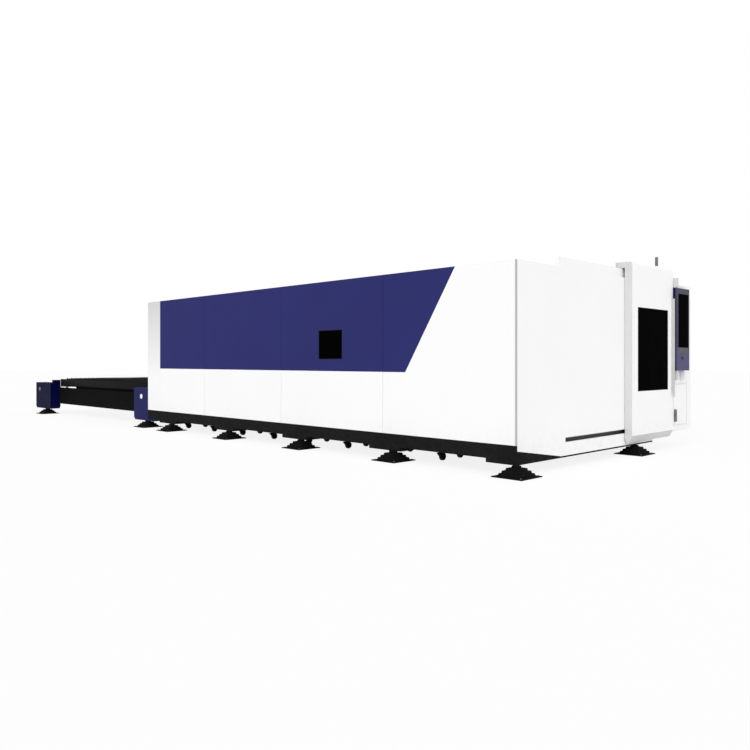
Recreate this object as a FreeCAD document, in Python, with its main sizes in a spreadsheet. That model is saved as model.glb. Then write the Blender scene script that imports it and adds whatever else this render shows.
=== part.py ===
import FreeCAD, Part
import os
import re
import Sketcher

# A fibre laser cutting machine with an exchange table, in millimetres, +Z up, on the floor.
# The operator's end faces +X.  Depth is counted back from the front wall, span is counted
# from the near long side towards +Y, and height from the floor.

doc = FreeCAD.newDocument("LaserCutter")
sheet = doc.addObject("Spreadsheet::Sheet", "Sizes")
NAMES = []
NODES = []


def size(name, value, meaning):
    """Write one driving size into the sheet and give its cell a name."""
    row = len(NAMES) + 1
    sheet.set("A%d" % row, meaning)
    sheet.set("B%d" % row, repr(value))
    sheet.setAlias("B%d" % row, name)
    NAMES.append(name)


# ---- cabin ----
size("front_room", 2590, "front wall to the pallet inside")
size("rear_room", 184, "pallet inside to the rear wall")
size("hood_reach", 439, "rear hood behind the rear wall")
size("seam_pitch", 2033, "from one panel seam to the next")
size("bay_width", 1010, "control bay beside the bed")
size("bed_wall_height", 540, "walls that carry the guide rails")
size("table_gap", 218, "rear wall to the first leg cover")
size("pallet_inset", 148, "first leg cover to the pallet")
size("table_tail", 862, "pallet to the table's far end")
size("leg_foot_front", 336, "first table feet behind the cover's front")
size("leg_foot_rear", 600, "last table feet before the table's far end")
size("leg_foot_set", 60, "table feet from the bed's outer sides")
size("cart_gap_length", 200, "gap between two carts")
size("cabin_height", 2255, "floor to the roof")
size("sheet_thick", 20, "folded wall panel")
size("seam_gap", 4, "gap between two wall panels")
size("seam_one", 1946, "depth of the first seam")
size("band_bottom", 1066, "lower edge of the blue band")
size("band_start_low", 1573, "slanted end of the band at its lower edge")
size("band_start_high", 814, "slanted end of the band at the roof")
size("view_start", 2689, "side window, depth of its front edge")
size("view_length", 470, "side window length")
size("view_bottom", 1223, "side window sill")
size("view_height", 386, "side window height")
size("glass_thick", 8, "window glass")
size("glass_set", 5, "side window behind the panel's face")
size("trim_width", 13, "grey corner trim")
size("skirt_corner", 261, "front skirt height at the near corner")
size("skirt_run", 872, "length of the slanted front skirt")
size("skirt_bottom", 134, "front skirt above the floor")
size("bay_length", 2664, "control bay, front to back")
size("bay_bottom", 230, "control bay above the floor")
size("vestibule", 1500, "open passage behind the front wall into the bay")
# ---- bed ----
size("bed_width", 3190, "bed, outer side to outer side")
size("far_foot_block", 192, "foot blocks of the far row across")
size("beam_top", 320, "top of the base beams")
size("beam_bottom", 160, "bottom of the base beams")
size("block_bottom", 116, "bottom of the foot blocks")
size("beam_width", 245, "base beam across")
size("corner_block", 394, "length of the front corner blocks")
size("block_front", 120, "foot block before its foot")
size("block_rear", 420, "foot block behind its foot")
size("far_row_set", 535, "far row of feet from the bed's far side")
size("far_block", 110, "length of a foot block on the far side")
size("front_beam_depth", 180, "front base beam, front to back")
size("bed_wall_set", 45, "gap from the cabin side to the bed wall")
size("bed_wall_start", 1460, "front end of the bed walls")
size("rail_width", 35, "guide rail across")
size("rail_height", 35, "guide rail height")
size("rail_set", 115, "guide rail from the cabin side")
size("rack_width", 25, "rack across")
size("rack_height", 30, "rack height")
size("rack_set", 165, "rack from the cabin side")
size("rail_start", 1500, "front end of the guide rails")
size("running_gap", 0.3, "clearance between pieces that run on each other")
size("member_height", 50, "cross member under the pallets")
size("member_width", 80, "cross member front to back")
# ---- feet ----
size("pad_width", 380, "foot plate")
size("pad_thick", 13, "foot plate thickness")
size("step_rise", 27, "height of each step of a foot")
size("step_one", 278, "first step across")
size("step_two", 227, "second step across")
size("step_three", 168, "third step across")
size("neck_width", 96, "neck of a foot")
size("bay_foot_front", 780, "front foot of the bay, depth")
size("bay_foot_set", 240, "bay feet from the bay's outer side")
# ---- slag carts ----
size("cart_first", 1776, "centre of the first cart, depth")
size("cart_set", 300, "cart from the bed's outer sides")
size("cart_bottom", 112, "tray above the floor")
size("cart_height", 104, "tray height")
size("cart_wall", 5, "tray wall")
size("castor_pitch", 840, "castors along the machine")
size("castor_row", 430, "outer castors from the bed's side")
size("castor_step", 340, "outer castor to inner castor")
size("castor_radius", 48, "castor wheel radius")
size("castor_width", 42, "castor wheel width")
size("fork_width", 60, "castor fork across")
size("grip_rise", 60, "cart pull bar length")
# ---- front door ----
size("door_width", 1210, "door across")
size("door_bottom", 258, "lower edge of the door's front")
size("door_toe", 167, "lowest edge of the undercut")
size("door_proud", 105, "front of the door before the wall")
size("door_back", 8, "back of the door before the wall")
size("door_reach", 116, "top flange behind the wall")
size("door_chamfer", 26, "chamfer along the door's top")
size("flange_thick", 10, "door top flange")
size("lip_drop", 66, "flange lip")
size("pane_width", 893, "door window across")
size("pane_bottom", 814, "door window sill")
size("pane_height", 1071, "door window height")
size("pane_set", 14, "door window behind the door's front")
size("doorway_bottom", 360, "doorway sill")
size("slot_bottom", 284, "lower guide slot, lower edge")
size("slot_top", 337, "lower guide slot, upper edge")
size("tongue_width", 60, "door guide tongue across")
size("tongue_thick", 20, "door guide tongue thickness")
size("tongue_reach", 14, "door guide tongue behind the wall")
size("track_depth", 34, "channel behind the slot")
size("track_wall", 4, "channel wall")
size("track_end_depth", 60, "front end of the far beam, depth")
size("track_set", 30, "top track behind the wall")
size("track_width", 50, "top track front to back")
size("roller_radius", 30, "top roller")
size("roller_width", 28, "top roller width")
size("pin_radius", 8, "top roller pin")
size("roller_inset", 220, "top rollers from the door's edges")
size("grip_inset", 38, "door grip from the door's far edge")
size("grip_width", 26, "door grip across")
size("grip_bottom", 708, "lower point of the door grip")
size("grip_stand", 38, "door grip before the door")
size("grip_blade", 14, "door grip blade thickness")
# ---- console and operator panel ----
size("console_proud", 93, "console front before the wall")
size("console_depth", 540, "console back behind the wall")
size("hatch_width", 442, "cabinet door across")
size("hatch_bottom", 321, "cabinet door lower edge")
size("hatch_height", 556, "cabinet door height")
size("hatch_thick", 12, "cabinet door thickness")
size("hatch_overlap", 14, "cabinet door over its opening")
size("hatch_hinge", 7, "cabinet hinge pin radius")
size("latch_width", 46, "cabinet handle across")
size("latch_bottom", 367, "cabinet handle lower end")
size("latch_height", 166, "cabinet handle height")
size("latch_inset", 12, "cabinet handle from the door's edge")
size("latch_stand", 26, "cabinet handle before the door")
size("latch_blade", 10, "cabinet handle blade thickness")
size("latch_post", 40, "cabinet handle posts, height")
size("screen_width", 421, "operator panel across")
size("screen_bottom", 1068, "operator panel lower edge")
size("screen_height", 1132, "operator panel height")
size("screen_back", 112, "operator panel back before the wall")
size("screen_thick", 48, "operator panel thickness")
size("glass_start", 54, "screen glass from the panel's near edge")
size("glass_width", 335, "screen glass across")
size("glass_bottom", 318, "screen glass above the panel's lower edge")
size("glass_height", 737, "screen glass height")
size("shelf_height", 89, "grey key strip under the screen")
size("bezel_depth", 5, "recess of the screen glass")
size("pivot_radius", 6, "panel pivot pin")
size("pivot_set", 24, "panel pivot from the panel's near edge")
size("pivot_depth", 60, "bore for the pivot pin in the panel")
size("pin_clear", 4, "pivot pin short of the bore's end")
size("bracket_width", 40, "panel pivot bracket across")
size("bracket_low", 937, "lower end of the lower panel bracket")
size("bracket_gap", 6, "panel brackets clear of the panel")
size("stop_radius", 20, "emergency stop head")
size("stop_stem", 11, "emergency stop stem radius")
size("stop_reach", 24, "emergency stop before the panel")
size("stop_travel", 6, "emergency stop travel")
size("stop_clear", 2, "emergency stop head clear of the panel when pressed")
size("stop_height", 172, "emergency stop above the panel's lower edge")
size("stop_set", 180, "emergency stop from the panel's near edge")
size("stub_set", 249, "grip stub from the panel's near edge")
size("stub_width", 34, "grip stub under the panel")
size("stub_length", 130, "grip stub length")
size("lamp_radius", 21, "signal lamp")
size("lamp_height", 412, "signal lamp")
size("lamp_depth", 180, "signal lamp behind the wall")
# ---- laser source ----
size("source_depth", 1560, "laser source front, depth")
size("source_length", 900, "laser source front to back")
size("source_width", 800, "laser source across")
size("source_height", 1150, "laser source height")
# ---- pallets ----
size("pallet_length", 4700, "pallet along the machine")
size("pallet_set", 250, "pallet from the bed's outer sides")
size("pallet_bottom", 665, "underside of the upper pallet's frame")
size("pallet_high", 110, "pallet frame height")
size("pallet_bar", 60, "pallet frame bar")
size("level_drop", 275, "upper pallet to lower pallet")
size("slat_count", 16, "slats in a pallet")
size("slat_thick", 5, "slat thickness")
size("slat_tip", 150, "slat tips above the frame's underside")
size("slat_foot", 30, "slat lower edge above the frame's underside")
size("tooth_depth", 34, "depth of the slat teeth")
size("wheel_radius", 42.5, "pallet wheel")
size("wheel_width", 28, "pallet wheel width")
size("wheel_set", 12, "pallet wheel from the frame's outer face")
size("wheel_end", 300, "end wheels from the pallet's ends")
size("hanger_thick", 9, "wheel hanger plate")
size("skirt_plate", 8, "side plate of the pallet")
size("plate_drop", 25, "side plate below the frame")
size("plate_rise", 15, "side plate above the frame")
size("wheel_clear", 5, "pallet wheel under the frame")
size("ledge_width", 55, "pallet rail across")
size("ledge_thick", 15, "pallet rail thickness")
size("guard_thick", 4, "guard strip on the table's upper rails")
size("guard_length", 3980, "guard strip behind the first leg cover")
size("guard_gap", 8, "guard strip under the pallet's side plate")
size("bed_ledge_start", 2450, "front end of the bed's pallet rails")
# ---- exchange table ----
size("table_set", 22, "table from the bed's outer sides")
size("leg_length", 808, "first leg cover along the machine")
size("end_length", 865, "last leg cover along the machine")
size("leg_bottom", 116, "leg cover above the floor")
size("leg_top", 704, "leg cover top")
size("leg_chamfer", 48, "cut corner of the leg cover")
size("stop_block", 112, "raised end of the far leg cover")
size("cap_set", 100, "raised end from the bed's outer sides")
size("stop_rise", 64, "height of the raised end")
size("table_beam_bottom", 232, "table side beam")
size("table_beam_thick", 20, "table side beam across")
size("table_beam_top", 600, "table side beam top")
size("tie_width", 100, "table cross tie front to back")
size("shaft_radius", 12, "pallet drive shaft")
size("shaft_high", 602, "upper drive shaft above the floor")
size("shaft_low", 345, "lower drive shaft above the floor")
size("sprocket_radius", 30, "sprocket")
size("chain_set", 315, "chains from the bed's outer sides")
size("chain_thick", 8, "chain height")
size("sprocket_width", 22, "sprocket width")
# ---- rear door ----
size("gate_gap", 8, "rear door behind the rear wall")
size("gate_thick", 20, "rear door thickness")
size("gate_set", 180, "rear door from the bed's outer sides")
size("gate_closed", 325, "rear door lower edge when closed")
size("gate_height", 665, "rear door height")
size("gate_lift", 620, "rear door travel")
size("guide_thick", 8, "rear door guide wall")
size("cylinder_radius", 26, "lift cylinder")
size("cylinder_span", 600, "lift cylinder from the bed's outer sides")
size("cylinder_low", 1500, "lift cylinder lower end")
size("lug_rise", 520, "lift lug above the rear door's lower edge")
size("rod_radius", 10, "lift rod")
size("rod_reach", 30, "lift rod inside its cylinder when the door is shut")
# ---- gantry ----
size("gantry_depth", 2050, "front face of the gantry beam, depth")
size("gantry_beam_width", 300, "gantry beam front to back")
size("gantry_beam_height", 320, "gantry beam height")
size("gantry_chamfer", 70, "cut upper corners of the gantry beam")
size("shoe_set", 60, "gantry shoes from the bed's outer sides")
size("shoe_plate", 65, "gantry shoe height over the rail")
size("pinion_span", 220.3, "pinion axis from the bed's outer sides")
size("shoe_length", 600, "gantry shoe along the machine")
size("shoe_width", 230, "gantry shoe across")
size("pinion_radius", 30, "long-axis pinion")
size("pinion_depth", 1980, "long-axis pinion, depth")
size("motor_width", 110, "gearmotor across")
size("motor_height", 250, "gearmotor height")
size("guide_width", 25, "beam guide rail")
size("guide_high", 240, "upper beam rail above the beam's underside")
size("guide_low", 40, "lower beam rail above the beam's underside")
size("beam_rack_low", 145, "beam rack above the beam's underside")
size("cross_radius", 25, "cross-axis pinion")
size("carriage_width", 320, "carriage plate across")
size("carriage_thick", 24, "carriage plate thickness")
size("carriage_height", 540, "carriage plate height")
size("slide_width", 160, "height slide across")
size("slide_length", 460, "height slide length")
size("slide_rail", 20, "rails of the height slide, square")
size("slide_rail_set", 40, "rails of the height slide from its middle")
size("slide_clear", 6, "height slide before the carriage plate")
size("slide_reach", 32, "front of the height slide before the carriage plate")
size("servo_half", 35, "half the width of the carriage's motors")
size("head_radius", 55, "cutting head")
size("head_gap", 20, "cutting head bracket length")


DERIVED = {}
WORD = re.compile(r"\b[a-z][a-z_]*\b")


def derive(name, rule):
    """A size that follows from others."""
    DERIVED[name] = rule


derive("cabin_length", "front_room + pallet_length + rear_room")
derive("hood_length", "cabin_length + hood_reach")
derive("seam_two", "seam_one + seam_pitch")
derive("seam_three", "seam_one + 2 * seam_pitch")
derive("leg_start", "cabin_length + table_gap")
derive("pallet_start", "leg_start + pallet_inset")
derive("pallet_travel", "pallet_start - front_room")
derive("table_end", "pallet_start + pallet_length + table_tail")
derive("bed_ledge_end", "cabin_length + 4")
derive("table_ledge_start", "cabin_length + 42")
derive("table_ledge_end", "table_end - 300")
derive("shaft_depth", "table_end - 420")
derive("chain_front", "leg_start - 52")
derive("motor_tie", "shaft_depth + 160")
derive("foot_table_front", "leg_start + leg_foot_front")
derive("foot_table_rear", "table_end - leg_foot_rear")
derive("foot_pitch", "(cabin_length - 406) / 4")
derive("cart_pitch", "(cabin_length - 754) / 4")
derive("cart_length", "cart_pitch - cart_gap_length")
derive("cabin_width", "bed_width + bay_width")
derive("far_foot_row", "bed_width - far_row_set")
derive("base_end", "bed_width - 14")
derive("console_start", "bed_width + 400")
derive("door_start", "console_start - 10 - door_width")
derive("pane_start", "door_start + 158")
derive("doorway_end", "console_start - 90")
derive("doorway_start", "console_start - 1160")
derive("slot_end", "console_start - 30")
derive("slot_start", "slot_end - 2600")
derive("track_end", "console_start + 130")
derive("track_start", "track_end - 2840")
derive("hatch_start", "console_start + 8")
derive("screen_start", "console_start - 18")
derive("lamp_span", "console_start + 114")
derive("source_span", "bed_width + 50")
derive("door_top", "cabin_height + 195")
derive("track_top", "cabin_height + 115")
derive("doorway_top", "cabin_height - 75")
derive("bracket_top", "cabin_height + 80")
derive("grip_top", "cabin_height - 205")
derive("bed_wall_top", "beam_top + bed_wall_height")
derive("mouth_top", "bed_wall_top + 40")
derive("tip_height", "bed_wall_top + 40")
derive("rail_top", "pallet_bottom - wheel_radius * 2 - wheel_clear")
derive("tie_top", "rail_top - level_drop - ledge_thick")
derive("end_start", "table_end - end_length")


def bound(text):
    """Spell out the derived sizes of an expression and point its names at the sheet."""
    while any(word in DERIVED for word in WORD.findall(text)):
        text = WORD.sub(spelled_out, text)
    return WORD.sub(from_sheet, text)


def spelled_out(match):
    word = match.group(0)
    return "(%s)" % DERIVED[word] if word in DERIVED else word


def from_sheet(match):
    word = match.group(0)
    return "Sizes." + word if word in NAMES else word


FOREMOST = "max(pad_width / 2; door_proud + grip_stand; screen_back + screen_thick + stop_reach)"
WALL = "(table_end - (%s)) / 2" % FOREMOST
NEAR = "-(cabin_width - pad_width / 2) / 2"


def back(depth):
    """X of a depth behind the front wall."""
    return "%s - (%s)" % (WALL, depth)


def over(span):
    """Y of a span from the near long side."""
    return "%s + (%s)" % (NEAR, span)


def place(item, x, y, z):
    item.setExpression("Placement.Base.x", bound(x))
    item.setExpression("Placement.Base.y", bound(y))
    item.setExpression("Placement.Base.z", bound(z))
    return item


def block(name, depths, spans, heights):
    """A plain bar or plate between two depths, two spans and two heights."""
    item = doc.addObject("Part::Box", name)
    item.setExpression("Length", bound("(%s) - (%s)" % (depths[1], depths[0])))
    item.setExpression("Width", bound("(%s) - (%s)" % (spans[1], spans[0])))
    item.setExpression("Height", bound("(%s) - (%s)" % (heights[1], heights[0])))
    return place(item, back(depths[1]), over(spans[0]), heights[0])


TURNS = {
    "X": FreeCAD.Rotation(FreeCAD.Vector(0, 1, 0), 90),
    "Y": FreeCAD.Rotation(FreeCAD.Vector(1, 0, 0), -90),
    "Z": FreeCAD.Rotation(),
}


def rod(name, axis, radius, length, x, y, z):
    """A round bar that starts at a point and runs along one axis."""
    item = doc.addObject("Part::Cylinder", name)
    item.setExpression("Radius", bound(radius))
    item.setExpression("Height", bound(length))
    item.Placement.Rotation = TURNS[axis]
    return place(item, x, y, z)


def wheel(name, axis, radius, length, x, y, z, sides=16):
    """A many-sided wheel that starts at a point and runs along one axis."""
    item = doc.addObject("Part::Prism", name)
    item.Polygon = sides
    item.setExpression("Circumradius", bound(radius))
    item.setExpression("Height", bound(length))
    item.Placement.Rotation = TURNS[axis]
    return place(item, x, y, z)


def origin_part(body, role):
    return [f for f in body.Origin.OriginFeatures if f.Role == role][0]


def draw(body, name, plane, outlines):
    """A sketch of closed outlines, each corner held by two dimensions from the sheet."""
    sketch = body.newObject("Sketcher::SketchObject", name)
    sketch.AttachmentSupport = [(origin_part(body, plane), "")]
    sketch.MapMode = "FlatFace"
    first = 0
    for outline in outlines:
        count = len(outline)
        for i in range(count):
            here = FreeCAD.Vector(i, i * i, 0)
            there = FreeCAD.Vector((i + 1) % count, ((i + 1) % count) ** 2, 0)
            sketch.addGeometry(Part.LineSegment(here, there), False)
        for i in range(count):
            sketch.addConstraint(
                Sketcher.Constraint("Coincident", first + i, 2, first + (i + 1) % count, 1)
            )
            across = sketch.addConstraint(
                Sketcher.Constraint("DistanceX", -1, 1, first + i, 1, float(i + 1))
            )
            up = sketch.addConstraint(Sketcher.Constraint("DistanceY", -1, 1, first + i, 1, float(i + 1)))
            sketch.setExpression("Constraints[%d]" % across, bound(outline[i][0]))
            sketch.setExpression("Constraints[%d]" % up, bound(outline[i][1]))
        first += count
    return sketch


def profile(name, plane, outline, length, x, y, z, holes=()):
    """A body padded from a profile: XY pads up, XZ pads towards +Y and YZ towards +X."""
    body = doc.addObject("PartDesign::Body", name)
    sketch = draw(body, name + "_sketch", plane + "_Plane", [outline] + list(holes))
    pad = body.newObject("PartDesign::Pad", name + "_pad")
    pad.Profile = (sketch, [""])
    pad.Reversed = plane == "XZ"
    pad.setExpression("Length", bound(length))
    body.Tip = pad
    return place(body, x, y, z)


def turned(name, outline, x, y, z):
    """A turned part: a profile of radii and heights, revolved about its upright axis."""
    body = doc.addObject("PartDesign::Body", name)
    sketch = draw(body, name + "_sketch", "XZ_Plane", [outline])
    turn = body.newObject("PartDesign::Revolution", name + "_turn")
    turn.Profile = (sketch, [""])
    turn.ReferenceAxis = (sketch, ["V_Axis"])
    turn.Angle = 360
    body.Tip = turn
    return place(body, x, y, z)


def tapered(name, low_half, low, high_half, high, axis_x, axis_y):
    """A square section about an upright axis that widens from one height to another."""
    item = doc.addObject("Part::Wedge", name)
    item.Placement.Rotation = FreeCAD.Rotation(FreeCAD.Vector(1, 0, 0), 90)
    item.setExpression("Ymin", "0")
    item.setExpression("Ymax", bound("(%s) - (%s)" % (high, low)))
    for prefix, half in (("", low_half), ("2", high_half)):
        for letter in "XZ":
            item.setExpression("%s%smin" % (letter, prefix), bound("-(%s)" % half))
            item.setExpression("%s%smax" % (letter, prefix), bound(half))
    return place(item, axis_x, axis_y, low)


def row_of(name, outline, thick, count, pitch):
    """Like plates in a row towards the rear, padded once and patterned."""
    body = doc.addObject("PartDesign::Body", name)
    body.AllowCompound = True
    pad = body.newObject("PartDesign::Pad", name + "_pad")
    pad.Profile = (draw(body, name + "_sketch", "YZ_Plane", [outline]), [""])
    pad.setExpression("Length", bound(thick))
    row = body.newObject("PartDesign::LinearPattern", name + "_row")
    row.Originals = [pad]
    row.Direction = (origin_part(body, "X_Axis"), [""])
    row.Reversed = True
    row.setExpression("Length", bound("(%s) * (%s - 1)" % (pitch, count)))
    row.setExpression("Occurrences", bound(count))
    body.Tip = row
    return body


def joined(name, pieces):
    item = doc.addObject("Part::MultiFuse", name)
    item.Shapes = pieces
    item.Refine = True
    return item


def less(name, base, tool):
    item = doc.addObject("Part::Cut", name)
    item.Base = base
    item.Tool = tool
    return item


def copy_at(name, source, x, y, z):
    item = doc.addObject("App::Link", name)
    item.LinkedObject = source
    return place(item, x, y, z)


def group(name, pieces):
    """Several like pieces that share one node, each its own solid."""
    item = doc.addObject("Part::Compound", name)
    item.Links = pieces
    return item


def node(name, item):
    """Name a sub-part and list it for export."""
    item.Label = name
    NODES.append((name, item))
    return item


def frame_outline(left, low, right, high):
    return [(left, low), (right, low), (right, high), (left, high)]


# ---------------------------------------------------------------- levelling feet
def make_feet():
    tiers = [("pad_width", "0", "pad_thick")]
    tiers.append(("step_one", "pad_thick", "pad_thick + step_rise"))
    tiers.append(("step_two", "pad_thick + step_rise", "pad_thick + 2 * step_rise"))
    tiers.append(("step_three", "pad_thick + 2 * step_rise", "pad_thick + 3 * step_rise"))
    low_foot = stepped_foot("foot", tiers + [("neck_width", "pad_thick + 3 * step_rise", "block_bottom")])
    bay_foot = stepped_foot(
        "bay_foot", tiers + [("neck_width", "pad_thick + 3 * step_rise", "bay_bottom")]
    )
    leg_foot = stepped_foot(
        "leg_foot", tiers + [("neck_width", "pad_thick + 3 * step_rise", "leg_bottom")]
    )
    copies = []
    for i in range(5):
        copies.append(copy_at("near_foot_%d" % i, low_foot, back("foot_pitch * %d" % i), over("0"), "0"))
    for i in range(5):
        copies.append(
            copy_at("far_foot_%d" % i, low_foot, back(far_foot_depth(i)), over("far_foot_row"), "0")
        )
    span = "cabin_width - bay_foot_set"
    copies.append(copy_at("bay_foot_front_copy", bay_foot, back("bay_foot_front"), over(span), "0"))
    copies.append(copy_at("bay_foot_rear_copy", bay_foot, back(cart_gap(1)), over(span), "0"))
    for depth in ("foot_table_front", "foot_table_rear"):
        for span in ("leg_foot_set", "bed_width - leg_foot_set"):
            copies.append(copy_at("leg_foot_%d" % len(copies), leg_foot, back(depth), over(span), "0"))
    node("levelling_feet", group("levelling_feet", copies))


def cart_gap(i):
    """Depth of the middle of the gap behind cart number i."""
    return "cart_first + cart_pitch * (%d - 0.5)" % i


def far_foot_depth(i):
    if i == 0:
        return "0"
    if i == 4:
        return "cart_first + cart_pitch * 3 + cart_length / 2 + far_block / 2 + 8"
    return cart_gap(i)


def stepped_foot(name, tiers):
    """A square plate with steps that narrow to a neck, padded one on the other."""
    body = doc.addObject("PartDesign::Body", name)
    for i, (width, low, high) in enumerate(tiers):
        half = width + " / 2"
        sketch = draw(
            body,
            "%s_tier_%d" % (name, i),
            "XY_Plane",
            [frame_outline("-" + half, "-" + half, half, half)],
        )
        sketch.setExpression("AttachmentOffset.Base.z", bound(low))
        pad = body.newObject("PartDesign::Pad", "%s_pad_%d" % (name, i))
        pad.Profile = (sketch, [""])
        pad.setExpression("Length", bound("(%s) - (%s)" % (high, low)))
        body.Tip = pad
    return body


# ---------------------------------------------------------------- base frame and bed
def make_base():
    near = [
        ("-sheet_thick", "beam_top"), ("-sheet_thick", "block_bottom"), ("-corner_block", "block_bottom")
    ]
    near.append(("-corner_block", "beam_bottom"))
    for i in range(1, 5):
        start = "-(foot_pitch * %d - block_front)" % i
        end = "-(foot_pitch * %d + block_rear)" % i
        near += [
            (start, "beam_bottom"), (start, "block_bottom"), (end, "block_bottom"), (end, "beam_bottom")
        ]
    near += [("-leg_start + 12", "beam_bottom"), ("-leg_start + 12", "beam_top")]
    pieces = [profile("near_beam", "XZ", near, "beam_width", back("0"), over("0"), "0")]
    skirt = ("leg_start - 12", "hood_length")
    pieces.append(block("near_skirt", skirt, ("0", "sheet_thick"), ("beam_bottom", "beam_top")))
    pieces.append(
        block("far_skirt", skirt, ("bed_width - sheet_thick", "bed_width"), ("bay_bottom", "beam_top"))
    )
    start = "far_foot_row - far_foot_block / 2"
    inner = "bed_width - beam_width"
    run = ("track_end_depth", "leg_start - 12")
    pieces.append(block("far_beam", run, (inner, "bed_width"), ("bay_bottom", "beam_top")))
    pieces.append(block("far_shelf", run, (start, inner), ("bay_bottom", "bay_bottom + member_height")))
    row = (start, "far_foot_row + far_foot_block / 2")
    for i in range(1, 5):
        depths = ("%s - far_block / 2" % far_foot_depth(i), "%s + far_block / 2" % far_foot_depth(i))
        pieces.append(block("far_leg_%d" % i, depths, row, ("block_bottom", "bay_bottom")))
    edge = "skirt_bottom - seam_gap / 2"
    apron = [("0", "block_bottom"), ("base_end", "block_bottom"), ("base_end", edge), ("skirt_run", edge)]
    apron += [
        ("trim_width", "skirt_corner - seam_gap / 2"), ("trim_width", "beam_top"), ("0", "beam_top")
    ]
    pieces.append(profile("front_apron", "YZ", apron, "sheet_thick", back("sheet_thick"), over("0"), "0"))
    low_front = ("block_bottom", "slot_bottom - track_wall")
    front = ("sheet_thick", "front_beam_depth")
    pieces.append(block("front_beam", front, ("beam_width", start), low_front))
    pieces.append(block("front_beam_far", front, (start, "base_end"), ("block_bottom", "bay_bottom")))
    for i in range(1, 4):
        middle = "foot_pitch * %d" % i
        depths = (middle + " - member_width / 2", middle + " + member_width / 2")
        pieces.append(
            block(
                "member_%d" % i,
                depths,
                ("beam_width", start),
                ("bay_bottom", "bay_bottom + member_height"),
            )
        )
    depths = ("leg_start - 12 - front_beam_depth", "leg_start - 12")
    pieces.append(
        block("rear_beam", depths, ("beam_width", start), ("bay_bottom", "bay_bottom + member_height"))
    )
    node("base_frame", group("base_frame", pieces))


def on_both_sides(name, depths, spans, heights):
    """The same bar along both sides of the bed, mirrored about its middle."""
    near = block(name + "_near", depths, spans, heights)
    far_spans = ("bed_width - (%s)" % spans[1], "bed_width - (%s)" % spans[0])
    return [near, block(name + "_far", depths, far_spans, heights)]


def make_guides():
    run = ("bed_wall_start", "cabin_length - 2 * sheet_thick")
    wall = on_both_sides("bed_wall", run, ("bed_wall_set", "beam_width"), ("beam_top", "bed_wall_top"))
    node("bed_walls", group("bed_walls", wall))
    run = ("rail_start", "cabin_length - 2 * sheet_thick")
    tall = ("bed_wall_top", "bed_wall_top + rail_height")
    rails = on_both_sides("x_rail", run, ("rail_set", "rail_set + rail_width"), tall)
    node("x_rails", group("x_rails", rails))
    tall = ("bed_wall_top", "bed_wall_top + rack_height")
    racks = on_both_sides("x_rack", run, ("rack_set", "rack_set + rack_width"), tall)
    node("x_racks", group("x_racks", racks))
    ledges = []
    for level, drop in (("upper", "0"), ("lower", "level_drop")):
        heights = ("rail_top - %s - ledge_thick" % drop, "rail_top - %s" % drop)
        spans = ("beam_width", "beam_width + ledge_width")
        ledges += on_both_sides(
            "bed_ledge_" + level, ("bed_ledge_start", "bed_ledge_end"), spans, heights
        )
        ledges += on_both_sides(
            "table_ledge_" + level, ("table_ledge_start", "table_ledge_end"), spans, heights
        )
    run = ("leg_start", "leg_start + guard_length")
    rise = ("rail_top", "pallet_bottom - plate_drop - guard_gap")
    ledges += on_both_sides("guard_strip", run, ("beam_width", "beam_width + guard_thick"), rise)
    node("pallet_rails", group("pallet_rails", ledges))


# ---------------------------------------------------------------- cabin panels
def wall_panel(name, outline, start, holes=()):
    """A panel of a long side, drawn with depths to the left."""
    points = [("-(%s)" % depth, height) for depth, height in outline]
    cut = [[("-(%s)" % depth, height) for depth, height in hole] for hole in holes]
    return profile(name, "XZ", points, "sheet_thick", back("0"), start, "0", cut)


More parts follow.
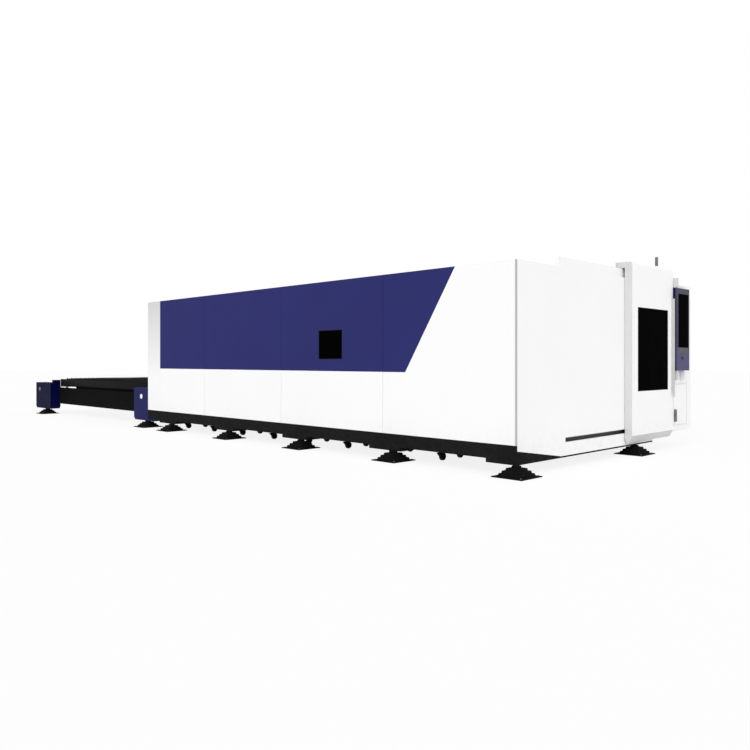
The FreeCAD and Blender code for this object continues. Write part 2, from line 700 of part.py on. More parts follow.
def make_side_panels():
    half = " + seam_gap / 2"
    seams = ["sheet_thick", "seam_one", "seam_two", "seam_three", "cabin_length"]
    edge = "seam_one - seam_gap / 2"
    slant = [("band_start_low", "band_bottom"), ("band_start_high", "cabin_height")]
    outline = [("sheet_thick", "beam_top"), (edge, "beam_top"), (edge, "band_bottom")] + slant
    outline.append(("sheet_thick", "cabin_height"))
    white = [wall_panel("near_white_0", outline, over("0"))]
    outline = [slant[0], (edge, "band_bottom"), (edge, "cabin_height"), slant[1]]
    blue = [wall_panel("near_blue_0", outline, over("0"))]
    for i in range(1, 4):
        low = seams[i] + half
        high = seams[i + 1] + " - seam_gap / 2"
        white.append(
            wall_panel(
                "near_white_%d" % i, frame_outline(low, "beam_top", high, "band_bottom"), over("0")
            )
        )
        holes = []
        if i == 1:
            holes.append(
                frame_outline(
                    "view_start", "view_bottom", "view_start + view_length", "view_bottom + view_height"
                )
            )
        blue.append(
            wall_panel(
                "near_blue_%d" % i,
                frame_outline(low, "band_bottom", high, "cabin_height"),
                over("0"),
                holes,
            )
        )
    node("near_white_panels", group("near_white_panels", white))
    node("near_blue_panels", group("near_blue_panels", blue))
    run = ("view_start", "view_start + view_length")
    thick = ("glass_set", "glass_set + glass_thick")
    node("near_window", block("near_window", run, thick, ("view_bottom", "view_bottom + view_height")))
    far = over("bed_width - sheet_thick")
    outer = [
        wall_panel(
            "far_panel_0",
            frame_outline("vestibule", "beam_top", "seam_two - seam_gap / 2", "cabin_height"),
            far,
        )
    ]
    for i in (2, 3):
        low = seams[i] + half
        high = seams[i + 1] + " - seam_gap / 2"
        outer.append(
            wall_panel("far_panel_%d" % i, frame_outline(low, "beam_top", high, "cabin_height"), far)
        )
    bay = ("bay_bottom", "cabin_height")
    outer.append(
        block(
            "bay_side", ("console_depth", "bay_length"), ("cabin_width - sheet_thick", "cabin_width"), bay
        )
    )
    inner = ("bed_width", "cabin_width - sheet_thick")
    outer.append(block("bay_back", ("bay_length - sheet_thick", "bay_length"), inner, bay))
    node("far_panels", group("far_panels", outer))
    run = ("cabin_length", "hood_length")
    hoods = on_both_sides("hood", run, ("0", "sheet_thick"), ("beam_top", "cabin_height"))
    node("rear_hoods", group("rear_hoods", hoods))


def make_front_wall():
    left = [
        ("trim_width", "skirt_corner"), ("skirt_run", "skirt_bottom"), ("doorway_start", "skirt_bottom")
    ]
    left += [("doorway_start", "slot_bottom"), ("slot_start", "slot_bottom"), ("slot_start", "slot_top")]
    left += [
        ("doorway_start", "slot_top"), ("doorway_start", "cabin_height"), ("trim_width", "cabin_height")
    ]
    sill_low = [
        ("doorway_start", "skirt_bottom"), ("base_end", "skirt_bottom"), ("base_end", "bay_bottom")
    ]
    sill_low += [
        ("doorway_end", "bay_bottom"), ("doorway_end", "slot_bottom"), ("doorway_start", "slot_bottom")
    ]
    sill_high = frame_outline("doorway_start", "slot_top", "doorway_end", "doorway_bottom")
    jamb = [
        ("doorway_end", "bay_bottom"), ("console_start", "bay_bottom"), ("console_start", "cabin_height")
    ]
    jamb += [("doorway_end", "cabin_height"), ("doorway_end", "slot_top"), ("slot_end", "slot_top")]
    jamb += [("slot_end", "slot_bottom"), ("doorway_end", "slot_bottom")]
    head = frame_outline("doorway_start", "doorway_top", "doorway_end", "cabin_height")
    pieces = []
    for name, outline in (
        ("wall_left", left),
        ("sill_low", sill_low),
        ("sill_high", sill_high),
        ("jamb", jamb),
        ("head", head),
    ):
        pieces.append(profile(name, "YZ", outline, "sheet_thick", back("sheet_thick"), over("0"), "0"))
    pieces.append(
        block("corner_trim", ("0", "sheet_thick"), ("0", "trim_width"), ("beam_top", "cabin_height"))
    )
    node("front_wall", group("front_wall", pieces))


def make_rear_wall():
    plate = ("cabin_length - sheet_thick", "cabin_length")
    wide = ("sheet_thick", "bed_width - sheet_thick")
    pieces = [block("rear_plate", plate, wide, ("mouth_top", "cabin_height - sheet_thick"))]
    pieces += on_both_sides("rear_cheek", plate, ("sheet_thick", "beam_width"), ("beam_top", "mouth_top"))
    outer = "gate_gap + gate_thick + 2"
    for side in ("near", "far"):
        edge = "gate_set" if side == "near" else "bed_width - gate_set"
        way = "-" if side == "near" else "+"
        turn = "+" if side == "near" else "-"
        corners = [("0", "%s %s 2" % (edge, way)), ("-(%s)" % outer, "%s %s 2" % (edge, way))]
        corners += [
            ("-(%s)" % outer, "%s %s 34" % (edge, turn)),
            ("-(%s) - guide_thick" % outer, "%s %s 34" % (edge, turn)),
        ]
        corners += [
            ("-(%s) - guide_thick" % outer, "%s %s 40" % (edge, way)), ("0", "%s %s 40" % (edge, way))
        ]
        height = "gate_closed + gate_lift + gate_height + 40 - beam_top"
        pieces.append(
            profile(
                "gate_guide_" + side, "XY", corners, height, back("cabin_length"), over("0"), "beam_top"
            )
        )
    node("rear_wall", group("rear_wall", pieces))


def make_roof():
    seams = ["sheet_thick", "seam_one", "seam_two", "seam_three", "hood_length"]
    heights = ("cabin_height - sheet_thick", "cabin_height")
    pieces = []
    for i in range(4):
        low = seams[i] if i == 0 else seams[i] + " + seam_gap / 2"
        high = seams[i + 1] if i == 3 else seams[i + 1] + " - seam_gap / 2"
        pieces.append(
            block("roof_%d" % i, (low, high), ("sheet_thick", "bed_width - sheet_thick"), heights)
        )
    pieces.append(
        block(
            "roof_passage",
            ("sheet_thick", "vestibule"),
            ("bed_width - sheet_thick", "bed_width"),
            heights,
        )
    )
    pieces.append(
        block(
            "roof_bay_left",
            ("sheet_thick", "bay_length - sheet_thick"),
            ("bed_width", "console_start"),
            heights,
        )
    )
    pieces.append(
        block(
            "roof_bay",
            ("console_depth", "bay_length - sheet_thick"),
            ("console_start", "cabin_width - sheet_thick"),
            heights,
        )
    )
    node("roof_panels", group("roof_panels", pieces))
    level = ("bay_bottom", "beam_top")
    inner = ("bed_width", "console_start")
    floor = [block("floor_passage", ("track_end_depth", "bay_length - sheet_thick"), inner, level)]
    inner = ("console_start", "cabin_width - sheet_thick")
    floor.append(block("floor_bay", ("console_depth", "bay_length - sheet_thick"), inner, level))
    inner = ("beam_width", "bed_width - beam_width")
    floor.append(
        block(
            "floor_cabin",
            ("track_end_depth", "bed_wall_start"),
            inner,
            ("beam_top - sheet_thick", "beam_top"),
        )
    )
    node("cabin_floor", group("cabin_floor", floor))


# ---------------------------------------------------------------- slag carts
def make_carts():
    castor_parts = []
    half = "fork_width / 2"
    stem = ("castor_radius * 1.6", "cart_bottom")
    castor_parts.append(cart_block("castor_stem", ("-" + half, half), ("-" + half, half), stem))
    castor_parts.append(
        wheel(
            "castor_wheel",
            "X",
            "castor_radius",
            "castor_width",
            "-castor_width / 2",
            "0",
            "castor_radius",
            10,
        )
    )
    castor = joined("castor", castor_parts)
    tray = []
    half = "cart_length / 2"
    wide = "bed_width - 2 * cart_set"
    floor = cart_block("cart_floor", ("-" + half, half), ("0", wide), ("0", "cart_wall"))
    tray.append(floor)
    for tag, edge in (("rear", "-" + half), ("front", half + " - cart_wall")):
        tray.append(
            cart_block(
                "cart_%s" % tag, (edge, edge + " + cart_wall"), ("0", wide), ("cart_wall", "cart_height")
            )
        )
    inner = ("-" + half + " + cart_wall", half + " - cart_wall")
    for tag, edge in (("near", "0"), ("far", wide + " - cart_wall")):
        tray.append(
            cart_block(
                "cart_%s" % tag, inner, (edge, edge + " + cart_wall"), ("cart_wall", "cart_height")
            )
        )
    grip = [
        ("-(grip_rise)", wide),
        ("-(grip_rise)", wide + " + 30"),
        ("grip_rise", wide + " + 30"),
        ("grip_rise", wide),
    ]
    grip += [
        ("grip_rise - 10", wide),
        ("grip_rise - 10", wide + " + 20"),
        ("-(grip_rise - 10)", wide + " + 20"),
    ]
    grip += [("-(grip_rise - 10)", wide)]
    tray.append(profile("cart_grip", "XY", grip, "10", "0", "0", "cart_height - 40"))
    shell = group("cart_tray", tray)
    for i in range(4):
        x = back("cart_first + cart_pitch * %d" % i)
        pieces = [copy_at("tray_%d" % i, shell, x, over("cart_set"), "cart_bottom")]
        spans = [
            "castor_row",
            "castor_row + castor_step",
            "bed_width - castor_row - castor_step",
            "bed_width - castor_row",
        ]
        for j, span in enumerate(spans):
            for k, way in enumerate(("-", "+")):
                at = "%s %s castor_pitch / 2" % (x, way)
                pieces.append(copy_at("castor_%d_%d_%d" % (i, j, k), castor, at, over(span), "0"))
        node("slag_cart_%d" % (i + 1), group("slag_cart_%d" % (i + 1), pieces))


def cart_block(name, lengths, spans, heights):
    """A plate of the cart, drawn about the cart's own middle line."""
    item = doc.addObject("Part::Box", name)
    item.setExpression("Length", bound("(%s) - (%s)" % (lengths[1], lengths[0])))
    item.setExpression("Width", bound("(%s) - (%s)" % (spans[1], spans[0])))
    item.setExpression("Height", bound("(%s) - (%s)" % (heights[1], heights[0])))
    return place(item, lengths[0], spans[0], heights[0])


# ---------------------------------------------------------------- front door
def make_front_door():
    section = [("door_proud", "door_bottom"), ("door_proud", "door_top - door_chamfer")]
    section += [
        ("door_proud - door_chamfer", "door_top"),
        ("door_back", "door_top"),
        ("door_back", "door_bottom - 30"),
    ]
    section += [("door_proud * 0.3", "door_toe"), ("door_proud * 0.55", "door_toe")]
    leaf = profile("leaf_block", "XZ", section, "door_width", back("0"), over("door_start"), "0")
    wide = ("pane_start", "pane_start + pane_width")
    tall = ("pane_bottom", "pane_bottom + pane_height")
    hole = block("leaf_hole", ("-door_proud - 5", "0"), wide, tall)
    pieces = [less("leaf_cut", leaf, hole)]
    full = ("door_start", "door_start + door_width")
    pieces.append(
        block("leaf_flange", ("-door_back", "door_reach"), full, ("door_top - flange_thick", "door_top"))
    )
    lip = ("door_top - flange_thick - lip_drop", "door_top - flange_thick")
    pieces.append(block("leaf_lip", ("door_reach - 8", "door_reach"), full, lip))
    middle = "(slot_bottom + slot_top) / 2"
    tongue = (middle + " - tongue_thick / 2", middle + " + tongue_thick / 2")
    for i, span in enumerate(("door_start + 40", "door_start + door_width - tongue_width - 40")):
        pieces.append(
            block(
                "tongue_%d" % i, ("-door_back", "tongue_reach"), (span, span + " + tongue_width"), tongue
            )
        )
    roll = []
    height = "track_top + roller_radius + running_gap"
    for i, span in enumerate(("door_start + roller_inset", "door_start + door_width - roller_inset")):
        start = back("door_reach - 8")
        pieces.append(rod("roller_pin_%d" % i, "X", "pin_radius", "70", start, over(span), height))
        at = back("track_set + track_width / 2 + roller_width / 2")
        tyre = wheel(
            "roller_tyre_%d" % i, "X", "roller_radius", "roller_width", at, over(span), height, 24
        )
        bore = rod(
            "roller_bore_%d" % i, "X", "pin_radius + running_gap", "roller_width", at, over(span), height
        )
        roll.append(less("roller_cut_%d" % i, tyre, bore))
    node("front_door_leaf", group("front_door_leaf", pieces))
    node("door_roller_near", roll[0])
    node("door_roller_far", roll[1])
    pane = ("-(door_proud - pane_set)", "-(door_proud - pane_set - glass_thick)")
    node("front_door_window", block("front_door_window", pane, wide, tall))
    edge = "door_start + door_width - grip_inset"
    face = "door_proud + grip_stand"
    side = [("door_proud", "grip_bottom + 120"), (face, "grip_bottom"), (face, "grip_top")]
    side += [
        ("door_proud", "grip_top"),
        ("door_proud", "grip_top - 40"),
        (face + " - grip_blade", "grip_top - 40"),
    ]
    side += [(face + " - grip_blade", "grip_bottom + 160"), ("door_proud", "grip_bottom + 160")]
    grip = profile(
        "front_door_handle", "XZ", side, "grip_width", back("0"), over(edge + " - grip_width / 2"), "0"
    )
    node("front_door_handle", grip)


def make_door_rails():
    track = ("track_set", "track_set + track_width")
    pieces = [block("top_track", track, ("track_start", "track_end"), ("cabin_height", "track_top"))]
    run = ("slot_start", "slot_end")
    deep = ("sheet_thick", "sheet_thick + track_depth")
    pieces.append(block("slot_floor", deep, run, ("slot_bottom - track_wall", "slot_bottom")))
    pieces.append(block("slot_cover", deep, run, ("slot_top", "slot_top + track_wall")))
    rear = ("sheet_thick + track_depth", "sheet_thick + track_depth + track_wall")
    pieces.append(block("slot_back", rear, run, ("slot_bottom - track_wall", "slot_top + track_wall")))
    node("door_rails", group("door_rails", pieces))


# ---------------------------------------------------------------- console, panel and lamp
def make_console():
    face = ("-console_proud", "-console_proud + sheet_thick")
    start = "console_start"
    end = "cabin_width"
    hole = ("hatch_start + hatch_overlap", "hatch_start + hatch_width - hatch_overlap")
    low = "hatch_bottom + hatch_overlap"
    high = "hatch_bottom + hatch_height - hatch_overlap"
    pieces = [block("console_upper", face, (start, end), (high, "cabin_height"))]
    pieces.append(block("console_lower", face, (start, end), ("bay_bottom", low)))
    pieces.append(block("console_left", face, (start, hole[0]), (low, high)))
    pieces.append(block("console_right", face, (hole[1], end), (low, high)))
    deep = ("-console_proud + sheet_thick", "console_depth - sheet_thick")
    tall = ("bay_bottom", "cabin_height")
    pieces.append(block("console_near", deep, (start, start + " + sheet_thick"), tall))
    pieces.append(block("console_far", deep, (end + " - sheet_thick", end), tall))
    pieces.append(
        block("console_rear", ("console_depth - sheet_thick", "console_depth"), (start, end), tall)
    )
    inner = (start + " + sheet_thick", end + " - sheet_thick")
    pieces.append(block("console_roof", deep, inner, ("cabin_height - sheet_thick", "cabin_height")))
    pieces.append(block("console_floor", deep, inner, ("bay_bottom", "bay_bottom + sheet_thick")))
    hinge = "hatch_start + hatch_width + hatch_hinge"
    ear = ("-(console_proud + 2 * hatch_hinge + running_gap)", "-console_proud")
    side = (hinge + " - hatch_hinge", hinge + " + hatch_hinge")
    low = "hatch_bottom - running_gap"
    high = "hatch_bottom + hatch_height + running_gap"
    pieces.append(block("hinge_ear_low", ear, side, (low + " - 24", low)))
    pieces.append(block("hinge_ear_high", ear, side, (high, high + " + 24")))
    node("console_shell", group("console_shell", pieces))
    plate = ("console_depth - sheet_thick - 12", "console_depth - sheet_thick")
    board = [block("board", plate, hole, ("hatch_bottom", "hatch_bottom + hatch_height * 2"))]
    deep = ("%s - 110" % plate[0], plate[0])
    for i in range(3):
        low = "hatch_bottom + 60 + %d * 340" % i
        for j in range(3):
            span = "hatch_start + 40 + %d * 130" % j
            name = "board_unit_%d_%d" % (i, j)
            board.append(block(name, deep, (span, span + " + 90"), (low, low + " + 200")))
    node("control_plate", group("control_plate", board))
    x = back("lamp_depth")
    lamp = rod("signal_lamp", "Z", "lamp_radius", "lamp_height", x, over("lamp_span"), "cabin_height")
    node("signal_lamp", lamp)
    run = ("source_depth", "source_depth + source_length")
    wide = ("source_span", "source_span + source_width")
    source = [block("source_cabinet", run, wide, ("beam_top + 60", "beam_top + source_height"))]
    for i in range(4):
        depth = "source_depth + %s" % ("40" if i % 2 else "source_length - 120")
        span = "source_span + %s" % ("40" if i // 2 else "source_width - 120")
        source.append(
            block(
                "source_foot_%d" % i,
                (depth, depth + " + 80"),
                (span, span + " + 80"),
                ("beam_top", "beam_top + 60"),
            )
        )
    node("laser_source", group("laser_source", source))


def make_cabinet_door():
    hinge = "hatch_start + hatch_width + hatch_hinge"
    depth = "-(console_proud + hatch_hinge + running_gap)"
    face = ("-console_proud - running_gap - hatch_thick", "-console_proud - running_gap")
    tall = ("hatch_bottom", "hatch_bottom + hatch_height")
    door = block("hatch_plate", face, ("hatch_start", "hatch_start + hatch_width"), tall)
    knuckle = rod(
        "hatch_knuckle", "Z", "hatch_hinge", "hatch_height", back(depth), over(hinge), "hatch_bottom"
    )
    node("cabinet_door", joined("cabinet_door", [door, knuckle]))
    start = "hatch_start + latch_inset"
    low = "latch_bottom"
    front = "console_proud + running_gap + hatch_thick"
    side = [
        (front, low), (front + " + latch_stand", low), (front + " + latch_stand", low + " + latch_height")
    ]
    side += [(front, low + " + latch_height"), (front, low + " + latch_height - latch_post")]
    inner = front + " + latch_stand - latch_blade"
    side += [
        (inner, low + " + latch_height - latch_post"),
        (inner, low + " + latch_post"),
        (front, low + " + latch_post"),
    ]
    handle = profile("cabinet_handle", "XZ", side, "latch_width", back("0"), over(start), "0")
    node("cabinet_handle", handle)


def make_panel():
    rear = "screen_back"
    front = "screen_back + screen_thick"
    axis = "screen_back + screen_thick / 2"
    pivot = over("screen_start + pivot_set")
    spans = ("screen_start", "screen_start + screen_width")
    tall = ("screen_bottom", "screen_bottom + screen_height")
    body = block("panel_slab", ("-(%s)" % front, "-(%s)" % rear), spans, tall)
    glass = ("screen_start + glass_start", "screen_start + glass_start + glass_width")
    pane = ("screen_bottom + glass_bottom", "screen_bottom + glass_bottom + glass_height")
    strip = ("screen_bottom + glass_bottom - shelf_height", "screen_bottom + glass_bottom")
    cuts = [
        block(
            "panel_recess",
            ("-(%s) - 1" % front, "-(%s - bezel_depth)" % front),
            glass,
            (strip[0], pane[1]),
        )
    ]
    bore = "pivot_radius + running_gap"
    x = back("-(%s)" % axis)
    cuts.append(rod("panel_bore_low", "Z", bore, "pivot_depth", x, pivot, "screen_bottom"))
    top = "screen_bottom + screen_height - pivot_depth"
    cuts.append(rod("panel_bore_high", "Z", bore, "pivot_depth", x, pivot, top))
    knob = over("screen_start + stop_set")
    at = "screen_bottom + stop_height"
    cuts.append(
        wheel(
            "panel_bore_stop",
            "X",
            "stop_stem + running_gap",
            "screen_thick",
            back("-(%s)" % rear),
            knob,
            at,
            12,
        )
    )
    housing = less("panel_shell", body, joined("panel_cuts", cuts))
    stub = "screen_start + stub_set"
    deep = ("-(%s)" % front, "-(%s)" % rear)
    grip = block(
        "panel_stub",
        deep,
        (stub, stub + " + stub_width"),
        ("screen_bottom - stub_length", "screen_bottom"),
    )
    node("panel_housing", group("panel_housing", [housing, grip]))
    face = ("-(%s)" % front, "-(%s - bezel_depth)" % front)
    node("panel_screen", block("panel_screen", face, glass, pane))
    node("panel_keys", block("panel_keys", face, glass, strip))
    gap = "stop_travel + stop_clear"
    x = back("-(%s + %s)" % (front, gap))
    head = wheel(
        "stop_head", "X", "stop_radius", "stop_reach - %s" % gap.replace("+", "-"), x, knob, at, 24
    )
    x = back("-(%s)" % axis)
    stem = wheel("stop_stem_bar", "X", "stop_stem", gap + " + screen_thick / 2", x, knob, at, 12)
    node("emergency_stop", joined("emergency_stop", [head, stem]))
    pieces = []
    arm = ("-(%s)" % front, "-console_proud")
    near = "console_start"
    width = (near, near + " + bracket_width")
    low_top = "screen_bottom - bracket_gap"
    pieces.append(block("bracket_lower", arm, width, ("bracket_low", low_top)))
    x = back("-(%s)" % axis)
    length = "bracket_gap + pivot_depth - pin_clear"
    pieces.append(rod("pivot_lower", "Z", "pivot_radius", length, x, pivot, low_top))
    high = "screen_bottom + screen_height + bracket_gap"
    pieces.append(block("bracket_upper", arm, width, (high, "bracket_top")))
    pieces.append(rod("pivot_upper", "Z", "pivot_radius", length, x, pivot, "%s - (%s)" % (high, length)))
    node("panel_brackets", group("panel_brackets", pieces))


# ---------------------------------------------------------------- gantry
def make_gantry():
    rear = "gantry_depth + gantry_beam_width"
    base = "bed_wall_top + rail_height + running_gap"
    low = base + " + shoe_plate"
    top = low + " + gantry_beam_height"
    section = [("-gantry_depth", low), ("-(%s)" % rear, low), ("-(%s)" % rear, top + " - gantry_chamfer")]
    section += [
        ("-(%s) + gantry_chamfer" % rear, top),
        ("-gantry_depth - gantry_chamfer", top),
        ("-gantry_depth", top + " - gantry_chamfer"),
    ]
    pieces = [
        profile("beam_tube", "XZ", section, "bed_width - 2 * shoe_set", back("0"), over("shoe_set"), "0")
    ]
    middle = "gantry_depth + gantry_beam_width / 2"
    start = "%s + shoe_length / 2" % middle
    gap = "running_gap"
    lip = "bed_wall_top + 10"
    under = low + " - shoe_plate + 15"
    inner = "rail_set + rail_width"
    shoe = [
        ("shoe_set", under), ("rail_set - 20", under), ("rail_set - 20", lip), ("rail_set - " + gap, lip)
    ]
    shoe += [("rail_set - " + gap, base), (inner + " + " + gap, base), (inner + " + " + gap, lip)]
    shoe += [(inner + " + 10", lip), (inner + " + 10", under), ("shoe_set + shoe_width", under)]
    shoe += [("shoe_set + shoe_width", low), ("shoe_set", low)]
    far = [("bed_width - (%s)" % y, z) for y, z in shoe]
    for tag, outline in (("near", shoe), ("far", far)):
        body = profile("shoe_" + tag, "YZ", outline, "shoe_length", back(start), over("0"), "0")
        span = "pinion_span" if tag == "near" else "bed_width - pinion_span"
        hole = rod(
            "shoe_hole_" + tag,
            "Z",
            "10 + running_gap",
            "400",
            back("pinion_depth"),
            over(span),
            "bed_wall_top",
        )
        pieces.append(less("shoe_cut_" + tag, body, hole))
    node("gantry_beam", group("gantry_beam", pieces))
    motors = []
    for tag in ("near", "far"):
        span = "pinion_span" if tag == "near" else "bed_width - pinion_span"
        half = "motor_width / 2"
        sides = ("%s - %s" % (span, half), "%s + %s" % (span, half))
        depths = ("pinion_depth - " + half, "pinion_depth + " + half)
        motors.append(block("x_gearbox_" + tag, depths, sides, (low, low + " + motor_height * 0.5")))
        height = low + " + motor_height * 0.5"
        small = "motor_width * 0.4"
        depths = ("pinion_depth - " + small, "pinion_depth + " + small)
        sides = ("%s - %s" % (span, small), "%s + %s" % (span, small))
        motors.append(block("x_motor_" + tag, depths, sides, (height, height + " + motor_height * 0.5")))
        gear = wheel(
            "x_wheel_" + tag,
            "Z",
            "pinion_radius",
            "35",
            back("pinion_depth"),
            over(span),
            "bed_wall_top + 2",
        )
        shaft = wheel(
            "x_shaft_" + tag,
            "Z",
            "10",
            "%s - bed_wall_top - 2 - running_gap" % low,
            back("pinion_depth"),
            over(span),
            "bed_wall_top + 2",
        )
        node("x_pinion_" + tag, joined("x_pinion_" + tag, [gear, shaft]))
    node("x_gearmotors", group("x_gearmotors", motors))
    guides = []
    spans = ("beam_width", "bed_width - beam_width")
    depths = (rear, rear + " + guide_width")
    rows = [("high", "guide_high", "guide_width"), ("low", "guide_low", "guide_width")]
    rows.append(("rack", "beam_rack_low", "rack_height"))
    for tag, rise, thick in rows:
        foot = "%s + %s" % (low, rise)
        guides.append(block("beam_guide_" + tag, depths, spans, (foot, "%s + %s" % (foot, thick))))
    node("beam_guides", group("beam_guides", guides))
    carriage(low, rear)


def carriage(low, rear):
    """The carriage along the beam, its height slide and the cutting head."""
    centre = "bed_width / 2"
    plate_start = rear + " + guide_width + 10"
    plate_end = plate_start + " + carriage_thick"
    half = "carriage_width / 2"
    bottom = low + " - 30"
    spans = ("%s - %s" % (centre, half), "%s + %s" % (centre, half))
    plate = block(
        "carriage_plate", (plate_start, plate_end), spans, (bottom, bottom + " + carriage_height")
    )
    pinion_up = low + " + beam_rack_low + rack_height + cross_radius + running_gap"
    side = centre + " + carriage_width * 0.375"
    hole = rod(
        "carriage_hole",
        "X",
        "8 + running_gap",
        "carriage_thick + 40",
        back(plate_end + " + 20"),
        over(side),
        pinion_up,
    )
    pieces = [less("carriage_cut", plate, hole)]
    for tag, rise in (("high", "guide_high"), ("low", "guide_low")):
        z = "%s + %s" % (low, rise)
        inner = "-(%s + guide_width + running_gap)" % rear
        front = "-(%s + 6)" % rear
        outline = [
            ("-(%s)" % plate_start, z + " - 12"), (front, z + " - 12"), (front, z + " - running_gap")
        ]
        high = z + " + guide_width + running_gap"
        outline += [(inner, z + " - running_gap"), (inner, high), (front, high)]
        outline += [
            (front, z + " + guide_width + 12"), ("-(%s)" % plate_start, z + " + guide_width + 12")
        ]
        pieces.append(
            profile(
                "carriage_shoe_" + tag, "XZ", outline, "carriage_width", back("0"), over(spans[0]), "0"
            )
        )
    deep = (plate_end, plate_end + " + slide_rail")
    tall = (bottom, bottom + " + carriage_height")
    for tag, span in (
        ("near", centre + " - slide_rail_set - slide_rail"), ("far", centre + " + slide_rail_set")
    ):
        pieces.append(block("slide_rail_" + tag, deep, (span, span + " + slide_rail"), tall))
    node("y_carriage", group("y_carriage", pieces))
    gear = wheel(
        "y_wheel",
        "X",
        "cross_radius",
        "guide_width - 2",
        back(rear + " + guide_width"),
        over(side),
        pinion_up,
    )
    shaft = wheel(
        "y_shaft",
        "X",
        "8",
        "guide_width - 2 + 10 + carriage_thick - running_gap",
        back(plate_end + " - running_gap"),
        over(side),
        pinion_up,
    )
    node("y_pinion", joined("y_pinion", [gear, shaft]))
    deep = (plate_end, plate_end + " + 140")
    wide = (side + " - servo_half", side + " + servo_half")
    motors = [block("y_motor", deep, wide, (pinion_up + " - servo_half", pinion_up + " + servo_half"))]
    top = bottom + " + carriage_height"
    deep = (plate_start, plate_end + " + 90")
    motors.append(
        block("z_motor_plate", deep, (centre + " - 60", centre + " + 60"), (top, top + " + 14"))
    )
    deep = (plate_end + " + 4", plate_end + " + 4 + 2 * servo_half")
    wide = (centre + " - servo_half", centre + " + servo_half")
    motors.append(block("z_motor", deep, wide, (top + " + 14", top + " + 170")))
    node("carriage_motors", group("carriage_motors", motors))
    rear_face = "-(%s + slide_reach)" % plate_end
    front_face = "-(%s + slide_clear)" % plate_end
    groove = "-(%s + slide_rail + running_gap)" % plate_end
    half_wide = [
        "slide_width / 2", "slide_rail_set + slide_rail + running_gap", "slide_rail_set - running_gap"
    ]
    outline = [
        (rear_face, "%s - %s" % (centre, half_wide[0])), (front_face, "%s - %s" % (centre, half_wide[0]))
    ]
    for way, order in (("-", (1, 2)), ("+", (2, 1))):
        first = "%s %s (%s)" % (centre, way, half_wide[order[0]])
        second = "%s %s (%s)" % (centre, way, half_wide[order[1]])
        outline += [(front_face, first), (groove, first), (groove, second), (front_face, second)]
    outline += [
        (front_face, "%s + %s" % (centre, half_wide[0])), (rear_face, "%s + %s" % (centre, half_wide[0]))
    ]
    slide_low = "tip_height + 100"
    node("z_slide", profile("z_slide", "XY", outline, "slide_length", back("0"), over("0"), slide_low))
    axis = plate_end + " + 32 + head_gap + head_radius"
    arm = block(
        "head_arm",
        (plate_end + " + 32", axis),
        (centre + " - 30", centre + " + 30"),
        ("tip_height + 180", "tip_height + 260"),
    )
    half = "head_radius * 0.75"
    deep = (axis + " - " + half, axis + " + " + half)
    wide = (centre + " - head_radius", centre + " + head_radius")
    housing = block("head_housing", deep, wide, ("tip_height + 120", "tip_height + 330"))
    top = rod("head_top", "Z", "head_radius * 0.5", "110", back(axis), over(centre), "tip_height + 330")
    low = ("head_radius * 0.25", "tip_height + 40")
    high = ("head_radius * 0.6", "tip_height + 120")
    neck = tapered("head_neck", *low, *high, back(axis), over(centre))
    node("cutting_head", joined("cutting_head", [arm, housing, top, neck]))
    outline = [("0", "0"), ("head_radius * 0.12", "0"), ("head_radius * 0.12", "24")]
    outline += [("head_radius * 0.24", "24"), ("head_radius * 0.24", "40"), ("0", "40")]
    node("nozzle", turned("nozzle", outline, back(axis), over(centre), "tip_height"))


# ---------------------------------------------------------------- pallets
SLAT_PITCH = "(pallet_length - 2 * pallet_bar) / slat_count"


def make_pallets():
    slats = slat_row()
    bars = pallet_frame()
    wheels = pallet_wheels()
    inside = "pallet_start - pallet_travel"
    for tag, depth, drop in (("upper", "pallet_start", "0"), ("lower", inside, "level_drop")):
        x = back(depth)
        z = "pallet_bottom - " + drop
        parts = [copy_at(tag + "_bars", bars, x, over("pallet_set"), z)]
        parts.append(copy_at(tag + "_wheels", wheels, x, over("pallet_set"), z))
        node(tag + "_pallet_frame", group(tag + "_pallet_frame", parts))
        first = back("%s + pallet_bar + (%s) / 2" % (depth, SLAT_PITCH))
        row = copy_at(tag + "_slats", slats, first, over("pallet_set + pallet_bar"), z)
        node(tag + "_pallet_slats", group(tag + "_pallet_slats", [row]))


def slat_row():
    """The toothed slats, drawn from the first one's near lower corner."""
    wide = "bed_width - 2 * pallet_set - 2 * pallet_bar"
    outline = [("0", "slat_foot"), (wide, "slat_foot")]
    teeth = 5
    for i in range(teeth, 0, -1):
        outline.append(("(%s) * %d / %d" % (wide, i, teeth), "slat_tip - tooth_depth"))
        outline.append(("(%s) * (%d - 0.5) / %d" % (wide, i, teeth), "slat_tip"))
    outline.append(("0", "slat_tip - tooth_depth"))
    return row_of("slat", outline, "slat_thick", "slat_count", SLAT_PITCH)


